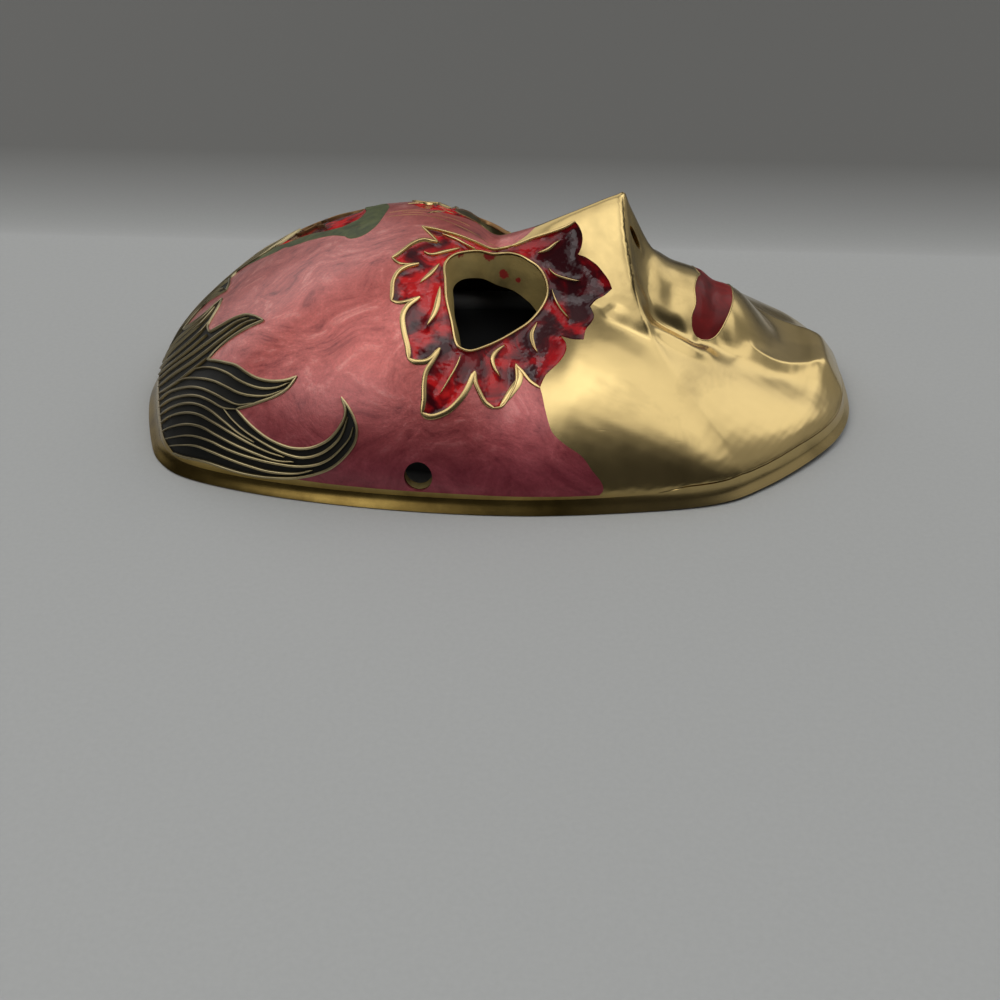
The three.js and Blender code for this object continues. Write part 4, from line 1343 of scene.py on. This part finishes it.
def make_table():
    """Pale table, with painted shade: darker behind the mask and in the deep shade under it."""
    material, tree, shader = new_material("table")
    # Painted shade: the table darkens behind the mask.
    back = spread(tree, axis_value(tree, "Y"), 0.080, 0.150)
    soft = calc(tree, "POWER", back, 0.6)
    speckle = noise(tree, 900, 3)
    pale = ramp(tree, speckle, [(0.3, (0.465, 0.475, 0.47)), (0.7, (0.485, 0.495, 0.49))])
    across = vector_calc(tree, "MULTIPLY", object_place(tree), MASK_SHADE)
    far = vector_calc(tree, "DISTANCE", across.outputs["Vector"], (0, 0, 0))
    shaded = spread(tree, far.outputs["Value"], 0.98, 0.86)
    surface = mix(tree, soft, pale, (0.150, 0.150, 0.143))
    plug(shader, "Base Color", mix(tree, shaded, surface, (0.01, 0.01, 0.01)))
    shader.inputs["Roughness"].default_value = 0.7
    corners = ((-1, -1), (1, -1), (1, 1), (-1, 1))
    points = [(x * TABLE_HALF, y * TABLE_HALF, TABLE_Z) for x, y in corners]
    return add_object("table", points, [(0, 1, 2, 3)], [material])


make_table()


def soft_light(name, place, target, size, power):
    data = bpy.data.lights.new(name, "AREA")
    data.shape = "RECTANGLE"
    data.size, data.size_y = size
    data.energy = power
    light = bpy.data.objects.new(name, data)
    light.location = [c * MM for c in place]
    light.rotation_euler = (Vector(target) - Vector(place)).to_track_quat("-Z", "Y").to_euler()
    bpy.context.scene.collection.objects.link(light)


soft_light("overhead", (40, -40, 560), (0, 0, 20), (0.22, 0.18), 0.12)
soft_light("front_left", (-210, -270, 350), (10, 0, 20), (0.16, 0.16), 0.11)


# Round patches of light in the sky, fitted to the reflections on the brass: compass angle from the back
# over the right, height, radius, soft edge (degrees) and level.
SKY_PATCHES = [
    (82, 69, 18, 9, 1.35), (50, 39, 10, 10, 1.4), (60, 46, 22, 40, 0.30), (-44, 36, 14, 24, 0.9),
    (-125, 68, 14, 10, 1.35), (105, 55, 7, 10, 1.0), (-150, 47, 8, 8, 0.8),
]
SKY_LEVEL = 0.045


def glow(tree, place, azimuth, height, radius, soft, level):
    """One round patch of light."""
    turn, up = math.radians(azimuth), math.radians(height)
    towards = (math.sin(turn) * math.cos(up), math.cos(turn) * math.cos(up), math.sin(up))
    near = vector_calc(tree, "DOT_PRODUCT", place, towards)
    edge, full = math.cos(math.radians(radius + soft)), math.cos(math.radians(radius))
    fall = {"Value": near.outputs["Value"], "From Min": edge, "From Max": full, "To Max": level}
    return node(tree, "ShaderNodeMapRange", fall, interpolation_type="SMOOTHSTEP").outputs["Result"]


def studio_world():
    """Soft patches of light in dark surroundings."""
    world = bpy.data.worlds.new("studio")
    world.use_nodes = True
    tree = world.node_tree
    place = node(tree, "ShaderNodeTexCoord").outputs["Generated"]
    total = 0.0
    for patch in SKY_PATCHES:
        total = calc(tree, "MAXIMUM", total, glow(tree, place, *patch))
    background = tree.nodes["Background"]
    plug(background, "Strength", calc(tree, "ADD", total, SKY_LEVEL))
    background.inputs["Color"].default_value = (1.0, 0.995, 0.985, 1)
    bpy.context.scene.world = world


studio_world()
bpy.context.scene.view_settings.view_transform = "Standard"

camera_data = bpy.data.cameras.new("camera")
camera_data.lens = 54
camera_data.sensor_width = 36
camera = bpy.data.objects.new("camera", camera_data)
camera.location = (0.01796, -0.31409, 0.1788)
camera.rotation_euler = (math.radians(56), 0, math.radians(3.2))
bpy.context.scene.collection.objects.link(camera)
bpy.context.scene.camera = camera
